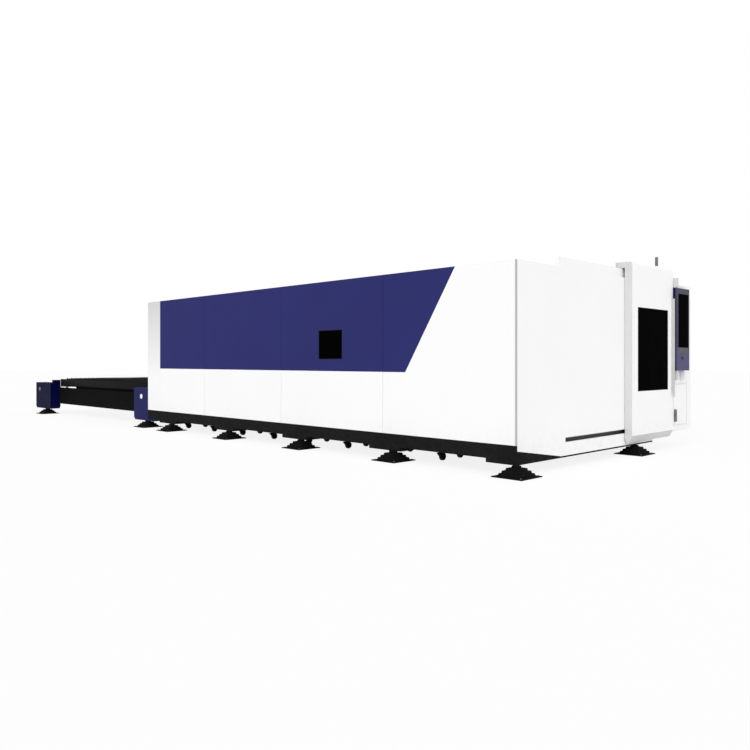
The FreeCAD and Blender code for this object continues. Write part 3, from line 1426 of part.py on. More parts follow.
def pallet_frame():
    wide = "bed_width - 2 * pallet_set"
    tall = ("0", "pallet_high")
    pieces = []
    thin = "pallet_bar - skirt_plate"
    for i, low in enumerate(("skirt_plate", wide + " - pallet_bar")):
        pieces.append(
            cart_block("bar_side_%d" % i, ("-pallet_length", "0"), (low, "%s + %s" % (low, thin)), tall)
        )
    high = ("-plate_drop", "pallet_high + plate_rise")
    for i, low in enumerate(("0", wide + " - skirt_plate")):
        spans = (low, low + " + skirt_plate")
        pieces.append(cart_block("bar_plate_%d" % i, ("-pallet_length", "0"), spans, high))
    for i, low in enumerate(("-pallet_length", "-pallet_bar")):
        pieces.append(
            cart_block(
                "bar_end_%d" % i,
                (low, low + " + pallet_bar"),
                ("pallet_bar", wide + " - pallet_bar"),
                tall,
            )
        )
    for i in range(2):
        low = "(%s) * %d / 3 - pallet_bar / 2" % (wide, i + 1)
        pieces.append(
            cart_block(
                "bar_middle_%d" % i,
                ("-pallet_length + pallet_bar", "-pallet_bar"),
                (low, low + " + pallet_bar"),
                ("0", "slat_foot"),
            )
        )
    return group("pallet_bars", pieces)


def pallet_wheels():
    wide = "bed_width - 2 * pallet_set"
    pieces = []
    z = "-wheel_radius - wheel_clear"
    near = ("a", "wheel_set", "wheel_set + wheel_width")
    inner = wide + " - wheel_set - wheel_width"
    far = ("b", inner, inner + " - hanger_thick")
    for j in range(4):
        x = "-(wheel_end + (pallet_length - 2 * wheel_end) * %d / 3)" % j
        for tag, low, plate in (near, far):
            name = "pallet_wheel_%d%s" % (j, tag)
            pieces.append(wheel(name, "Y", "wheel_radius", "wheel_width", x, low, z, 12))
            name = "pallet_hanger_%d%s" % (j, tag)
            spans = (plate, plate + " + hanger_thick")
            pieces.append(cart_block(name, (x + " - 25", x + " + 25"), spans, (z + " - 15", "0")))
    return group("pallet_wheels", pieces)


# ---------------------------------------------------------------- exchange table
def make_table():
    for_beam = ("leg_start + leg_length", "end_start")
    beam = ("table_beam_bottom", "table_beam_top")
    pieces = on_both_sides("table_beam", for_beam, ("beam_width - table_beam_thick", "beam_width"), beam)
    inner = ("beam_width", "bed_width - beam_width")
    tie = ("table_beam_bottom", "tie_top")
    first = "leg_start + leg_length"
    for i in range(4):
        at = "%s + (end_start - (%s) - tie_width) * %d / 3" % (first, first, i)
        pieces.append(block("table_tie_%d" % i, (at, at + " + tie_width"), inner, tie))
    pieces.append(block("table_end_tie", ("motor_tie", "motor_tie + tie_width"), inner, tie))
    node("table_frame", group("table_frame", pieces))
    covers = []
    for tag, start, length in (("front", "leg_start", "leg_length"), ("rear", "end_start", "end_length")):
        end = "%s + %s" % (start, length)
        outline = [
            ("-(%s) - leg_chamfer" % start, "leg_bottom"), ("-(%s)" % start, "leg_bottom + leg_chamfer")
        ]
        outline += [("-(%s)" % start, "leg_top"), ("-(%s)" % end, "leg_top")]
        outline += [
            ("-(%s)" % end, "leg_bottom + leg_chamfer"), ("-(%s) + leg_chamfer" % end, "leg_bottom")
        ]
        for side, at in (("near", "table_set"), ("far", "bed_width - beam_width")):
            name = "cover_%s_%s" % (tag, side)
            covers.append(
                profile(name, "XZ", outline, "beam_width - table_set", back("0"), over(at), "0")
            )
    run = ("end_start", "end_start + stop_block")
    covers += on_both_sides(
        "stop_cap", run, ("cap_set", "beam_width"), ("leg_top", "leg_top + stop_rise")
    )
    node("table_leg_covers", group("table_leg_covers", covers))
    make_drive()


def make_drive():
    centre = "bed_width / 2"
    plate = "motor_tie"
    width = (centre + " - 260", centre + " + 260")
    motors = [block("gear_plate", (plate, plate + " + 20"), width, ("tie_top", "shaft_high + 70"))]
    chains = []
    shoes = []
    for tag, height in (("upper", "shaft_high"), ("lower", "shaft_low")):
        x = back("shaft_depth")
        start = over("beam_width + running_gap")
        length = "bed_width - 2 * beam_width - 2 * running_gap"
        shaft = wheel(tag + "_shaft_bar", "Y", "shaft_radius", length, x, start, height)
        wheels = []
        for side in ("near", "far"):
            low = "chain_set" if side == "near" else "bed_width - chain_set - sprocket_width"
            wheels.append(
                wheel(
                    "%s_sprocket_%s" % (tag, side),
                    "Y",
                    "sprocket_radius",
                    "sprocket_width",
                    x,
                    over(low),
                    height,
                    12,
                )
            )
            chains.append(chain_loop("%s_chain_%s" % (tag, side), low, height))
            shoes += chain_shoe("%s_%s" % (tag, side), low, height)
        node(tag + "_drive_shaft", joined(tag + "_drive_shaft", [shaft] + wheels))
        box_at = centre + (" - 220" if tag == "upper" else " + 60")
        deep = ("shaft_depth - 45", plate)
        body = block(
            tag + "_gearbox", deep, (box_at, box_at + " + 120"), (height + " - 42", height + " + 52")
        )
        bore = rod(
            tag + "_gear_bore",
            "Y",
            "shaft_radius + running_gap",
            "140",
            x,
            over(box_at + " - 10"),
            height,
        )
        motors.append(less(tag + "_gear_cut", body, bore))
        side = box_at + " + 120" if tag == "upper" else box_at + " - 150"
        deep = ("shaft_depth + 60", "shaft_depth + 130")
        tall = (height + " - 35", height + " + 35")
        motors.append(block(tag + "_motor", deep, (side, side + " + 150"), tall))
    node("drive_gearmotors", group("drive_gearmotors", motors))
    node("drive_chains", group("drive_chains", chains))
    node("chain_shoes", group("chain_shoes", shoes))


def chain_loop(name, span, height):
    """A closed chain round the sprocket and the front shoe."""
    outer = racetrack(
        name + "_outer",
        "sprocket_radius + running_gap + chain_thick",
        span + " + 3",
        "sprocket_width - 6",
        height,
    )
    inner = racetrack(
        name + "_inner", "sprocket_radius + running_gap", span + " + 2", "sprocket_width - 4", height
    )
    return less(name, outer, inner)


def racetrack(name, radius, span, width, height):
    """Two twelve-sided ends whose flats stand at the given radius, and the straight run between."""
    corner = "(%s) / cos(15)" % radius
    ends = []
    for i, depth in enumerate(("shaft_depth", "chain_front")):
        end = "%s_%d" % (name, i)
        ends.append(wheel(end, "Y", corner, width, back(depth), over(span), height, 12))
    flat = "(%s)" % radius
    sides = (span, "%s + %s" % (span, width))
    tall = ("%s - %s" % (height, flat), "%s + %s" % (height, flat))
    ends.append(block(name + "_run", ("chain_front", "shaft_depth"), sides, tall))
    return joined(name, ends)


def chain_shoe(tag, span, height):
    near = "near" in tag
    plate = "beam_width + ledge_width" if near else "bed_width - beam_width - ledge_width - 8"
    disc = wheel(
        "shoe_disc_" + tag,
        "Y",
        "sprocket_radius",
        "sprocket_width",
        back("chain_front"),
        over(span),
        height,
        12,
    )
    reach = ("%s + 8" % plate, span) if near else ("%s + sprocket_width" % span, plate)
    stem = block(
        "shoe_stem_" + tag,
        ("chain_front - 20", "chain_front + 20"),
        reach,
        ("%s - 20" % height, "%s + 20" % height),
    )
    arm = block(
        "shoe_arm_" + tag,
        ("chain_front - 60", "chain_front + 60"),
        (plate, plate + " + 8"),
        ("%s - 62" % height, "%s + 24" % height),
    )
    return [joined("shoe_" + tag, [disc, stem, arm])]


# ---------------------------------------------------------------- rear door
def make_rear_door():
    face = "cabin_length + gate_gap"
    lift = "gate_closed + gate_lift"
    spans = ("gate_set", "bed_width - gate_set")
    pieces = [block("gate_plate", (face, face + " + gate_thick"), spans, (lift, lift + " + gate_height"))]
    lug = lift + " + lug_rise"
    reach = face + " + gate_thick + 12 + cylinder_radius"
    cylinders = []
    for side in ("near", "far"):
        span = "cylinder_span" if side == "near" else "bed_width - cylinder_span"
        depths = (face + " + gate_thick", reach + " + rod_radius + 6")
        sides = (span + " - 20", span + " + 20")
        pieces.append(block("gate_lug_" + side, depths, sides, (lug + " - 20", lug)))
        length = "cylinder_low + gate_lift + rod_reach - (%s)" % lug
        name = "gate_rod_" + side
        pieces.append(wheel(name, "Z", "rod_radius", length, back(reach), over(span), lug))
        tall = "cabin_height - sheet_thick - cylinder_low"
        tube = wheel(
            "lift_tube_" + side, "Z", "cylinder_radius", tall, back(reach), over(span), "cylinder_low"
        )
        gap = "rod_radius + running_gap"
        x = back(reach)
        bore = rod("lift_bore_" + side, "Z", gap, tall + " - sheet_thick", x, over(span), "cylinder_low")
        cylinders.append(less("lift_cylinder_" + side, tube, bore))
    node("rear_door", group("rear_door", pieces))
    node("lift_cylinders", group("lift_cylinders", cylinders))


# ---------------------------------------------------------------- run
make_feet()
make_base()
make_guides()
make_side_panels()
make_front_wall()
make_rear_wall()
make_roof()
make_door_rails()
make_front_door()
make_console()
make_cabinet_door()
make_panel()
make_gantry()
make_pallets()
make_table()
make_rear_door()
make_carts()
doc.recompute()

for item in doc.Objects:
    if "Invalid" in item.State or "Error" in item.State:
        raise RuntimeError("%s did not build" % item.Label)
for name, item in NODES:
    if item.Shape.isNull() or not item.Shape.isValid():
        raise RuntimeError("%s has no valid shape" % name)
os.makedirs("parts", exist_ok=True)
for name, item in NODES:
    item.Shape.exportStep("parts/%s.step" % name)
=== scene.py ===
import math

import bmesh
import bpy
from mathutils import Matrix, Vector


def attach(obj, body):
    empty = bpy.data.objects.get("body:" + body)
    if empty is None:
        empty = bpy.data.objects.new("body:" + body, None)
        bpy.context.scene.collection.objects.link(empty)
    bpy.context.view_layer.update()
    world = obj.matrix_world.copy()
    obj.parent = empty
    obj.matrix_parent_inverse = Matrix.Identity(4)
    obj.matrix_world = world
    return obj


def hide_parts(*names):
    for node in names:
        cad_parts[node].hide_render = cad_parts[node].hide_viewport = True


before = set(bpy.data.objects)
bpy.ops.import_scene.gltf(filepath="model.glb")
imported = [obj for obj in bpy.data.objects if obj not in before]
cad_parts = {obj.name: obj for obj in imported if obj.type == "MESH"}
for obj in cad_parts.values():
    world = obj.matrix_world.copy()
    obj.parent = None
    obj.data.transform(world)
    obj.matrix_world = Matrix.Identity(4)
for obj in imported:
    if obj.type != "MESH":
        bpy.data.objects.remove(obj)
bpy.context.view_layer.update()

# Sizes are in millimetres and follow the part's source. Depth is counted back from the front
# wall, span from the near side, and height from the floor.
WALL_X = 6606.0
NEAR_Y = -2005.0
BED = 3190.0
BED_MIDDLE = BED / 2
BAY_FAR = 4200
DOOR_FACE = -105
CABINET_FACE = -105.3

UP = (0, 0, 1)
FORWARD = (1, 0, 0)
ACROSS = (0, 1, 0)
NEARWARD = (0, -1, 0)
CORNERS = ((-1, -1), (1, -1), (1, 1), (-1, 1))


def at(depth, span, height):
    """A place on the machine as a point of the scene, in metres."""
    return Vector(((WALL_X - depth) / 1000, (NEAR_Y + span) / 1000, height / 1000))


# ------------------------------------------------------------------ shader helpers
def nodes_of(name):
    """A new material with its node tree and its principled shader."""
    mat = bpy.data.materials.new(name)
    mat.use_nodes = True
    tree = mat.node_tree
    tree.nodes.clear()
    out = tree.nodes.new("ShaderNodeOutputMaterial")
    bsdf = tree.nodes.new("ShaderNodeBsdfPrincipled")
    tree.links.new(bsdf.outputs[0], out.inputs["Surface"])
    return mat, tree, bsdf


def maths(tree, operation, *values):
    """A Math node, each of whose inputs is a number or a socket."""
    node = tree.nodes.new("ShaderNodeMath")
    node.operation = operation
    for socket, value in zip(node.inputs, values):
        if isinstance(value, (int, float)):
            socket.default_value = value
        else:
            tree.links.new(value, socket)
    return node.outputs[0]


def noise(tree, scale, detail=4.0, stretch=None, rough=0.55):
    coord = tree.nodes.new("ShaderNodeTexCoord")
    tex = tree.nodes.new("ShaderNodeTexNoise")
    tex.inputs["Scale"].default_value = scale
    tex.inputs["Detail"].default_value = detail
    tex.inputs["Roughness"].default_value = rough
    source = coord.outputs["Object"]
    if stretch:
        mapping = tree.nodes.new("ShaderNodeMapping")
        mapping.inputs["Scale"].default_value = stretch
        tree.links.new(source, mapping.inputs["Vector"])
        source = mapping.outputs["Vector"]
    tree.links.new(source, tex.inputs["Vector"])
    return tex.outputs["Fac"]


def spread(tree, value, low, high, from_low=0.3, from_high=0.7):
    """Map a value to another range, by default from the middle of what a noise gives."""
    node = tree.nodes.new("ShaderNodeMapRange")
    node.inputs["From Min"].default_value = from_low
    node.inputs["From Max"].default_value = from_high
    node.inputs["To Min"].default_value = low
    node.inputs["To Max"].default_value = high
    tree.links.new(value, node.inputs["Value"])
    return node.outputs["Result"]


def mixed(tree, factor, one, two):
    """Blend two colours, each of which is a tuple or a socket."""
    node = tree.nodes.new("ShaderNodeMix")
    node.data_type = "RGBA"
    for socket, value in (("A", one), ("B", two)):
        if isinstance(value, tuple):
            node.inputs[socket].default_value = (*value, 1)
        else:
            tree.links.new(value, node.inputs[socket])
    tree.links.new(factor, node.inputs["Factor"])
    return node.outputs["Result"]


def bumped(tree, bsdf, height, strength, distance):
    """Relief over edges that a bevel of two millimetres softens."""
    bevel = tree.nodes.new("ShaderNodeBevel")
    bevel.samples = 4
    bevel.inputs["Radius"].default_value = 0.002
    bump = tree.nodes.new("ShaderNodeBump")
    bump.inputs["Strength"].default_value = strength
    bump.inputs["Distance"].default_value = distance
    tree.links.new(height, bump.inputs["Height"])
    tree.links.new(bevel.outputs[0], bump.inputs["Normal"])
    tree.links.new(bump.outputs[0], bsdf.inputs["Normal"])


def shade(colour, k):
    return tuple(min(1.0, c * k) for c in colour)


def coordinate(tree, field, axis):
    """One axis of a texture coordinate, such as Object or Normal."""
    coord = tree.nodes.new("ShaderNodeTexCoord")
    split = tree.nodes.new("ShaderNodeSeparateXYZ")
    tree.links.new(coord.outputs[field], split.inputs[0])
    return split.outputs[axis]


def where(tree, field, axis, low, high):
    """1 where a coordinate of the mesh, or its normal, lies between two values."""
    value = coordinate(tree, field, axis)
    return maths(tree, "COMPARE", value, (low + high) / 2, (high - low) / 2)


# ------------------------------------------------------------------ kinds of surface
FLOOR_DUST = (0.08, 0.076, 0.07)


def powder(name, colour, rough=0.5, vary=0.04, spec=0.12, patches=(), dust=0.12, shade_fade=None):
    """Powder coat: a faint orange peel, slow drifts of tone and a little dust near the floor.

    patches holds a colour, the part's own or painted shade, and one or more (field, axis, low,
    high) that all hold where it is painted. The last argument holds (colour, low, high) for
    painted shade: a tone that drifts to another colour up the object."""
    mat, tree, bsdf = nodes_of(name)
    drift = spread(tree, noise(tree, scale=1.3, detail=3.0), 0, 1)
    tone = mixed(tree, drift, shade(colour, 1 - vary), shade(colour, 1 + vary))
    for other, *places in patches:
        mask = where(tree, *places[0])
        for place in places[1:]:
            mask = maths(tree, "MULTIPLY", mask, where(tree, *place))
        tone = mixed(tree, mask, tone, other)
    height = coordinate(tree, "Object", "Z")
    if shade_fade:
        other, start, end = shade_fade
        tone = mixed(tree, spread(tree, height, 0, 1, start, end), tone, other)
    low_down = spread(tree, height, dust, 0.0, 0.0, 0.5)
    specks = spread(tree, noise(tree, scale=14, detail=6.0), 0.0, 1, 0.42, 0.75)
    tone = mixed(tree, maths(tree, "MULTIPLY", low_down, specks), tone, FLOOR_DUST)
    tree.links.new(tone, bsdf.inputs["Base Color"])
    gloss = spread(tree, noise(tree, scale=9, detail=5.0), rough - 0.05, rough + 0.07)
    tree.links.new(gloss, bsdf.inputs["Roughness"])
    bsdf.inputs["Specular IOR Level"].default_value = spec
    bumped(tree, bsdf, noise(tree, scale=240, detail=2.0), strength=0.05, distance=0.0004)
    return mat


def metal(name, colour, rough, stretch, scale=60.0, vary=0.12, level=1.0, painted=None):
    """Bare metal, its marks drawn out along one axis or none. If asked, one place takes a flat
    dark colour with no metal in it as painted shade, and the specular level drops almost to
    nothing."""
    mat, tree, bsdf = nodes_of(name)
    marks = noise(tree, scale, 6.0, stretch, 0.7)
    tone = mixed(tree, spread(tree, marks, 0, 1), shade(colour, 1 - vary), shade(colour, 1 + vary))
    bsdf.inputs["Metallic"].default_value = level
    # Painted shade: the place asked for turns dark and not metallic, and the whole material loses
    # nearly all specular reflection.
    if painted:
        shade_colour, place = painted
        bare = maths(tree, "SUBTRACT", level, where(tree, *place))
        tree.links.new(bare, bsdf.inputs["Metallic"])
        bsdf.inputs["Specular IOR Level"].default_value = 0.001
        tone = mixed(tree, where(tree, *place), tone, shade_colour)
    tree.links.new(tone, bsdf.inputs["Base Color"])
    tree.links.new(spread(tree, marks, rough - 0.08, rough + 0.1), bsdf.inputs["Roughness"])
    bumped(tree, bsdf, marks, strength=0.15, distance=0.0004)
    return mat


def glassy(name, colour, rough=0.06, smear=0.05):
    """A dark polished sheet with faint wiping marks."""
    mat, tree, bsdf = nodes_of(name)
    wipe = noise(tree, scale=2.2, detail=5.0, stretch=(1.0, 3.0, 0.6))
    tone = mixed(tree, spread(tree, wipe, 0, 1), colour, shade(colour, 1.5))
    tree.links.new(tone, bsdf.inputs["Base Color"])
    tree.links.new(spread(tree, wipe, rough, rough + smear), bsdf.inputs["Roughness"])
    bsdf.inputs["Specular IOR Level"].default_value = 0.001
    return mat


def scorched(name):
    """Slat steel: mill scale with burnt and crusted patches."""
    scale_grey, soot, rust = (0.017, 0.0165, 0.016), (0.014, 0.0135, 0.013), (0.060, 0.040, 0.029)
    mat, tree, bsdf = nodes_of(name)
    crust = noise(tree, scale=34, detail=8.0, rough=0.75)
    patch = noise(tree, scale=5, detail=4.0)
    burnt = mixed(tree, spread(tree, patch, 0, 1, 0.4, 0.65), soot, rust)
    tone = mixed(tree, spread(tree, crust, 0, 1, 0.5, 0.72), scale_grey, burnt)
    tree.links.new(tone, bsdf.inputs["Base Color"])
    tree.links.new(spread(tree, crust, 0.45, 0.8), bsdf.inputs["Roughness"])
    bsdf.inputs["Metallic"].default_value = 0.15
    bsdf.inputs["Specular IOR Level"].default_value = 0.08
    bumped(tree, bsdf, crust, strength=0.6, distance=0.002)
    return mat


def moulded(name, colour, rough=0.5, grain=600.0, strength=0.2):
    """Plastic or rubber with a fine grain."""
    mat, tree, bsdf = nodes_of(name)
    drift = spread(tree, noise(tree, scale=7, detail=3.0), 0, 1)
    tone = mixed(tree, drift, shade(colour, 0.9), shade(colour, 1.12))
    tree.links.new(tone, bsdf.inputs["Base Color"])
    gloss = spread(tree, noise(tree, scale=25, detail=4.0), rough - 0.05, rough + 0.08)
    tree.links.new(gloss, bsdf.inputs["Roughness"])
    bsdf.inputs["Specular IOR Level"].default_value = 0.2
    bumped(tree, bsdf, noise(tree, grain, detail=2.0), strength, distance=0.0005)
    return mat


def checker_plate(name):
    """Raised-pattern floor sheet, worn lighter in places."""
    mat, tree, bsdf = nodes_of(name)
    coord = tree.nodes.new("ShaderNodeTexCoord")
    mapping = tree.nodes.new("ShaderNodeMapping")
    mapping.inputs["Rotation"].default_value = (0, 0, math.radians(45))
    mapping.inputs["Scale"].default_value = (36, 90, 1)
    tree.links.new(coord.outputs["Object"], mapping.inputs["Vector"])
    cell = tree.nodes.new("ShaderNodeTexVoronoi")
    cell.voronoi_dimensions = "2D"
    cell.inputs["Randomness"].default_value = 0.0
    cell.inputs["Scale"].default_value = 1.0
    tree.links.new(mapping.outputs["Vector"], cell.inputs["Vector"])
    raised = spread(tree, cell.outputs["Distance"], 1, 0, 0.2, 0.35)
    wear = spread(tree, noise(tree, scale=11, detail=6.0), 0, 1)
    worn = mixed(tree, wear, (0.045, 0.045, 0.048), (0.10, 0.10, 0.10))
    tree.links.new(worn, bsdf.inputs["Base Color"])
    bsdf.inputs["Metallic"].default_value = 0.4
    bsdf.inputs["Roughness"].default_value = 0.5
    bumped(tree, bsdf, raised, strength=0.5, distance=0.003)
    return mat


# ------------------------------------------------------------------ the machine's materials
PAINT_WHITE = (0.87, 0.87, 0.87)
# Grey used only as painted shade on the front door's shaded faces.
SIDE_SHADE_GREY = (0.62, 0.62, 0.62)
PAINT_CHARCOAL = (0.0105, 0.0105, 0.0105)
# Black used only to draw the shadow in the gap under the upper pallet.
SHADOW_BLACK = (0.001, 0.001, 0.001)
SIDE_SHADE_NAVY = (0.010, 0.007, 0.055)

NEAR_FACES = ("Normal", "Y", -1.1, -0.9)
FRONT_FACES = ("Normal", "X", 0.9, 1.1)
TOP_FACES = ("Normal", "Z", 0.9, 1.1)
DOWNWARD_FACES = ("Normal", "Z", -0.98, -0.05)
CORNER_SHADOW_STRIP = ("Object", "Y", -2.1, -1.9918)
FAR_COVERS = ("Object", "X", -6.9, -5.93)

SATIN = {"rough": 0.45, "vary": 0.008, "spec": 0.2}
MATT = {"rough": 0.6, "vary": 0.1, "spec": 0.02}
LENGTHWAYS = (1, 60, 60)
CROSSWAYS = (60, 1, 60)
UPRIGHT = (60, 60, 1)
ALL_WAYS = (1, 1, 1)

WHITE = powder("white_coat", PAINT_WHITE, **SATIN)
# Painted shadow: a grey strip along the front wall's near corner stands for the shadow of the gap
# between the side panels and the front wall.
WHITE_WITH_CORNER_SHADOW = powder("white_coat_painted_corner_shadow", PAINT_WHITE, **SATIN, patches=[
    ((0.44, 0.44, 0.44), CORNER_SHADOW_STRIP),
])
# Painted shade: the door's near side, its downward faces and its top flange behind the wall are
# grey, where shade falls on them.
DOOR_WHITE_WITH_SHADE = powder("door_coat_painted_shade", PAINT_WHITE, **SATIN, patches=[
    (SIDE_SHADE_GREY, NEAR_FACES),
    (SIDE_SHADE_GREY, DOWNWARD_FACES),
    (SIDE_SHADE_GREY, ("Object", "X", 6.45, 6.6)),
])
# Painted shade: the hood's tone darkens to grey up its height.
HOOD_WITH_SHADE = powder("hood_coat_painted_shade", (0.86, 0.86, 0.86), **SATIN, shade_fade=((0.61, 0.605, 0.605), 0.9, 2.2))
# Painted shade: the recessed slot under the door is dark, with a lighter band along its top as a
# painted reflection.
TRACK_WITH_SLOT_SHADE = powder("track_coat_painted_slot_shade", PAINT_WHITE, 0.45, 0.01, 0.2, [
    ((0.045, 0.045, 0.045), ("Object", "Z", 0.2, 0.5)),
    ((0.34, 0.34, 0.34), ("Object", "Z", 0.322, 0.345)),
])
PALE = powder("pale_coat", (0.70, 0.695, 0.695), 0.45, 0.015, 0.2)
GREY = powder("grey_coat", (0.60, 0.60, 0.60), 0.45, 0.03, 0.2)
HANDLE = powder("handle_coat", (0.52, 0.52, 0.52), 0.45, 0.02, 0.1)
BLUE = powder("blue_coat", (0.027, 0.029, 0.133), 0.5, 0.03, 0.02)
# Painted shade: the covers at the table's far end are darker, and the covers' faces turned towards
# the cabin darker still.
TABLE_BLUE_WITH_SHADE = powder("table_blue_coat_painted_shade", (0.0225, 0.0245, 0.097), 0.5, 0.05, 0.012, [
    ((0.0080, 0.0088, 0.032), FAR_COVERS),
    ((0.0015, 0.0025, 0.038), FRONT_FACES),
])
PANEL_BLUE = powder("panel_blue_coat_painted_side_shade", (0.093, 0.087, 0.171), 0.45, 0.03, 0.03, [
    ((0.075, 0.073, 0.100), ("Object", "Z", 2.123, 2.3)),
    ((0.062, 0.060, 0.085), ("Object", "Z", 1.386, 2.123)),
    # Painted shade: the housing's near side is darker, and a navy strip at its top front darker
    # still.
    ((0.060, 0.057, 0.092), NEAR_FACES),
    (SIDE_SHADE_NAVY, NEAR_FACES, ("Object", "Z", 2.05, 2.3), ("Object", "X", 6.7, 6.747)),
    ((0.74, 0.74, 0.76), ("Object", "Z", 0.9, 1.0675)),
])
CHARCOAL = powder("charcoal_coat", PAINT_CHARCOAL, **MATT)
# Painted shadow: the skirt's foot is black, as the shade in the gap above the table beams.
SKIRT_WITH_SHADOW = powder("pallet_coat_painted_shadow", PAINT_CHARCOAL, **MATT, patches=[
    (SHADOW_BLACK, ("Object", "Z", 0.60, 0.650)),
])
# Painted shadow: the beams' top faces are black, as the shade under the upper pallet.
BEAM_WITH_TOP_SHADOW = powder("beam_coat_painted_top_shadow", (0.0062, 0.0062, 0.0062), 0.6, 0.1, 0.005, [(SHADOW_BLACK, TOP_FACES)])
BLACK = powder("black_coat", (0.0065, 0.0065, 0.0065), 0.6, 0.12, 0.02, dust=0.05)

GLASS = glassy("window_black", (0.0008, 0.0008, 0.0010))
SCREEN = glassy("screen_black", (0.0005, 0.0005, 0.0010), 0.1, 0.03)

TRIM = moulded("grey_trim", (0.10, 0.10, 0.10), 0.45)
RUBBER = moulded("black_rubber", (0.009, 0.009, 0.009), 0.7, 300.0, 0.4)
NYLON = moulded("nylon", (0.55, 0.54, 0.50), 0.45)
KEYS = moulded("key_strip", (0.080, 0.080, 0.095), 0.4)
STOP = moulded("stop_plastic", (0.050, 0.042, 0.095), 0.3, 900.0, 0.05)
LAMP = moulded("lamp_grey", (0.16, 0.16, 0.165), 0.35, 900.0, 0.05)
# Grey for the strips that draw the shadow line round the cabinet door, and that lighten the dark
# gap behind the front door's edges.
SEAL_GAP_GREY = moulded("seal_grey_for_gap_shade", (0.50, 0.50, 0.50), 0.6)
LATCH = moulded("latch_grey", (0.165, 0.165, 0.165), 0.5)
BADGE = moulded("pale_plastic", (0.80, 0.80, 0.86), 0.4)

GROUND = metal("ground_steel", (0.55, 0.56, 0.57), 0.26, LENGTHWAYS)
# Painted shadow: the rails' upper strip is near black, as the shadow line between the upper pallet
# and the table beams.
RAILS_WITH_SHADOW_LINE = metal("rail_steel_painted_shadow", (0.42, 0.43, 0.44), 0.34, LENGTHWAYS,
               painted=((0.002, 0.002, 0.002), ("Object", "Z", 0.5752, 0.7)))
TURNED = metal("turned_steel", (0.50, 0.51, 0.52), 0.3, CROSSWAYS)
ZINC = metal("zinc_sheet", (0.48, 0.49, 0.5), 0.42, ALL_WAYS, 18.0, 0.2)
ALUMINIUM = metal("blasted_aluminium", (0.66, 0.67, 0.69), 0.45, ALL_WAYS, 160.0, 0.06)
COPPER = metal("copper", (0.72, 0.36, 0.2), 0.25, UPRIGHT)
OILED = metal("oiled_chain", (0.06, 0.058, 0.055), 0.38, ALL_WAYS, 90.0, 0.3, 0.8)
SLAT = scorched("scorched_slat")
FLOOR_PLATE = checker_plate("floor_plate")

# The CAD nodes that stay in view. Every other node is replaced by a piece built below.
DRESSED = {
    "base_frame": CHARCOAL, "bed_walls": CHARCOAL, "table_frame": BEAM_WITH_TOP_SHADOW,
    "near_white_panels": WHITE, "far_panels": WHITE, "rear_wall": WHITE, "roof_panels": WHITE,
    "console_shell": WHITE, "cabinet_door": WHITE, "rear_door": WHITE,
    "front_wall": WHITE_WITH_CORNER_SHADOW, "front_door_leaf": DOOR_WHITE_WITH_SHADE, "door_rails": TRACK_WITH_SLOT_SHADE,
    "rear_hoods": HOOD_WITH_SHADE, "laser_source": PALE, "panel_brackets": GREY,
    "near_blue_panels": BLUE, "table_leg_covers": TABLE_BLUE_WITH_SHADE, "panel_housing": PANEL_BLUE,
    "near_window": GLASS, "front_door_window": GLASS, "panel_screen": SCREEN,
    "x_rails": GROUND, "x_racks": GROUND, "beam_guides": GROUND, "y_pinion": GROUND,
    "pallet_rails": RAILS_WITH_SHADOW_LINE, "chain_shoes": RUBBER, "cabin_floor": FLOOR_PLATE,
    "gantry_beam": ALUMINIUM, "y_carriage": ALUMINIUM, "z_slide": ALUMINIUM,
    "lift_cylinders": ALUMINIUM, "control_plate": ZINC, "nozzle": COPPER,
    "door_roller_near": NYLON, "door_roller_far": NYLON,
}
for node, material in DRESSED.items():
    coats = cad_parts[node].data.materials
    coats.clear()
    coats.append(material)


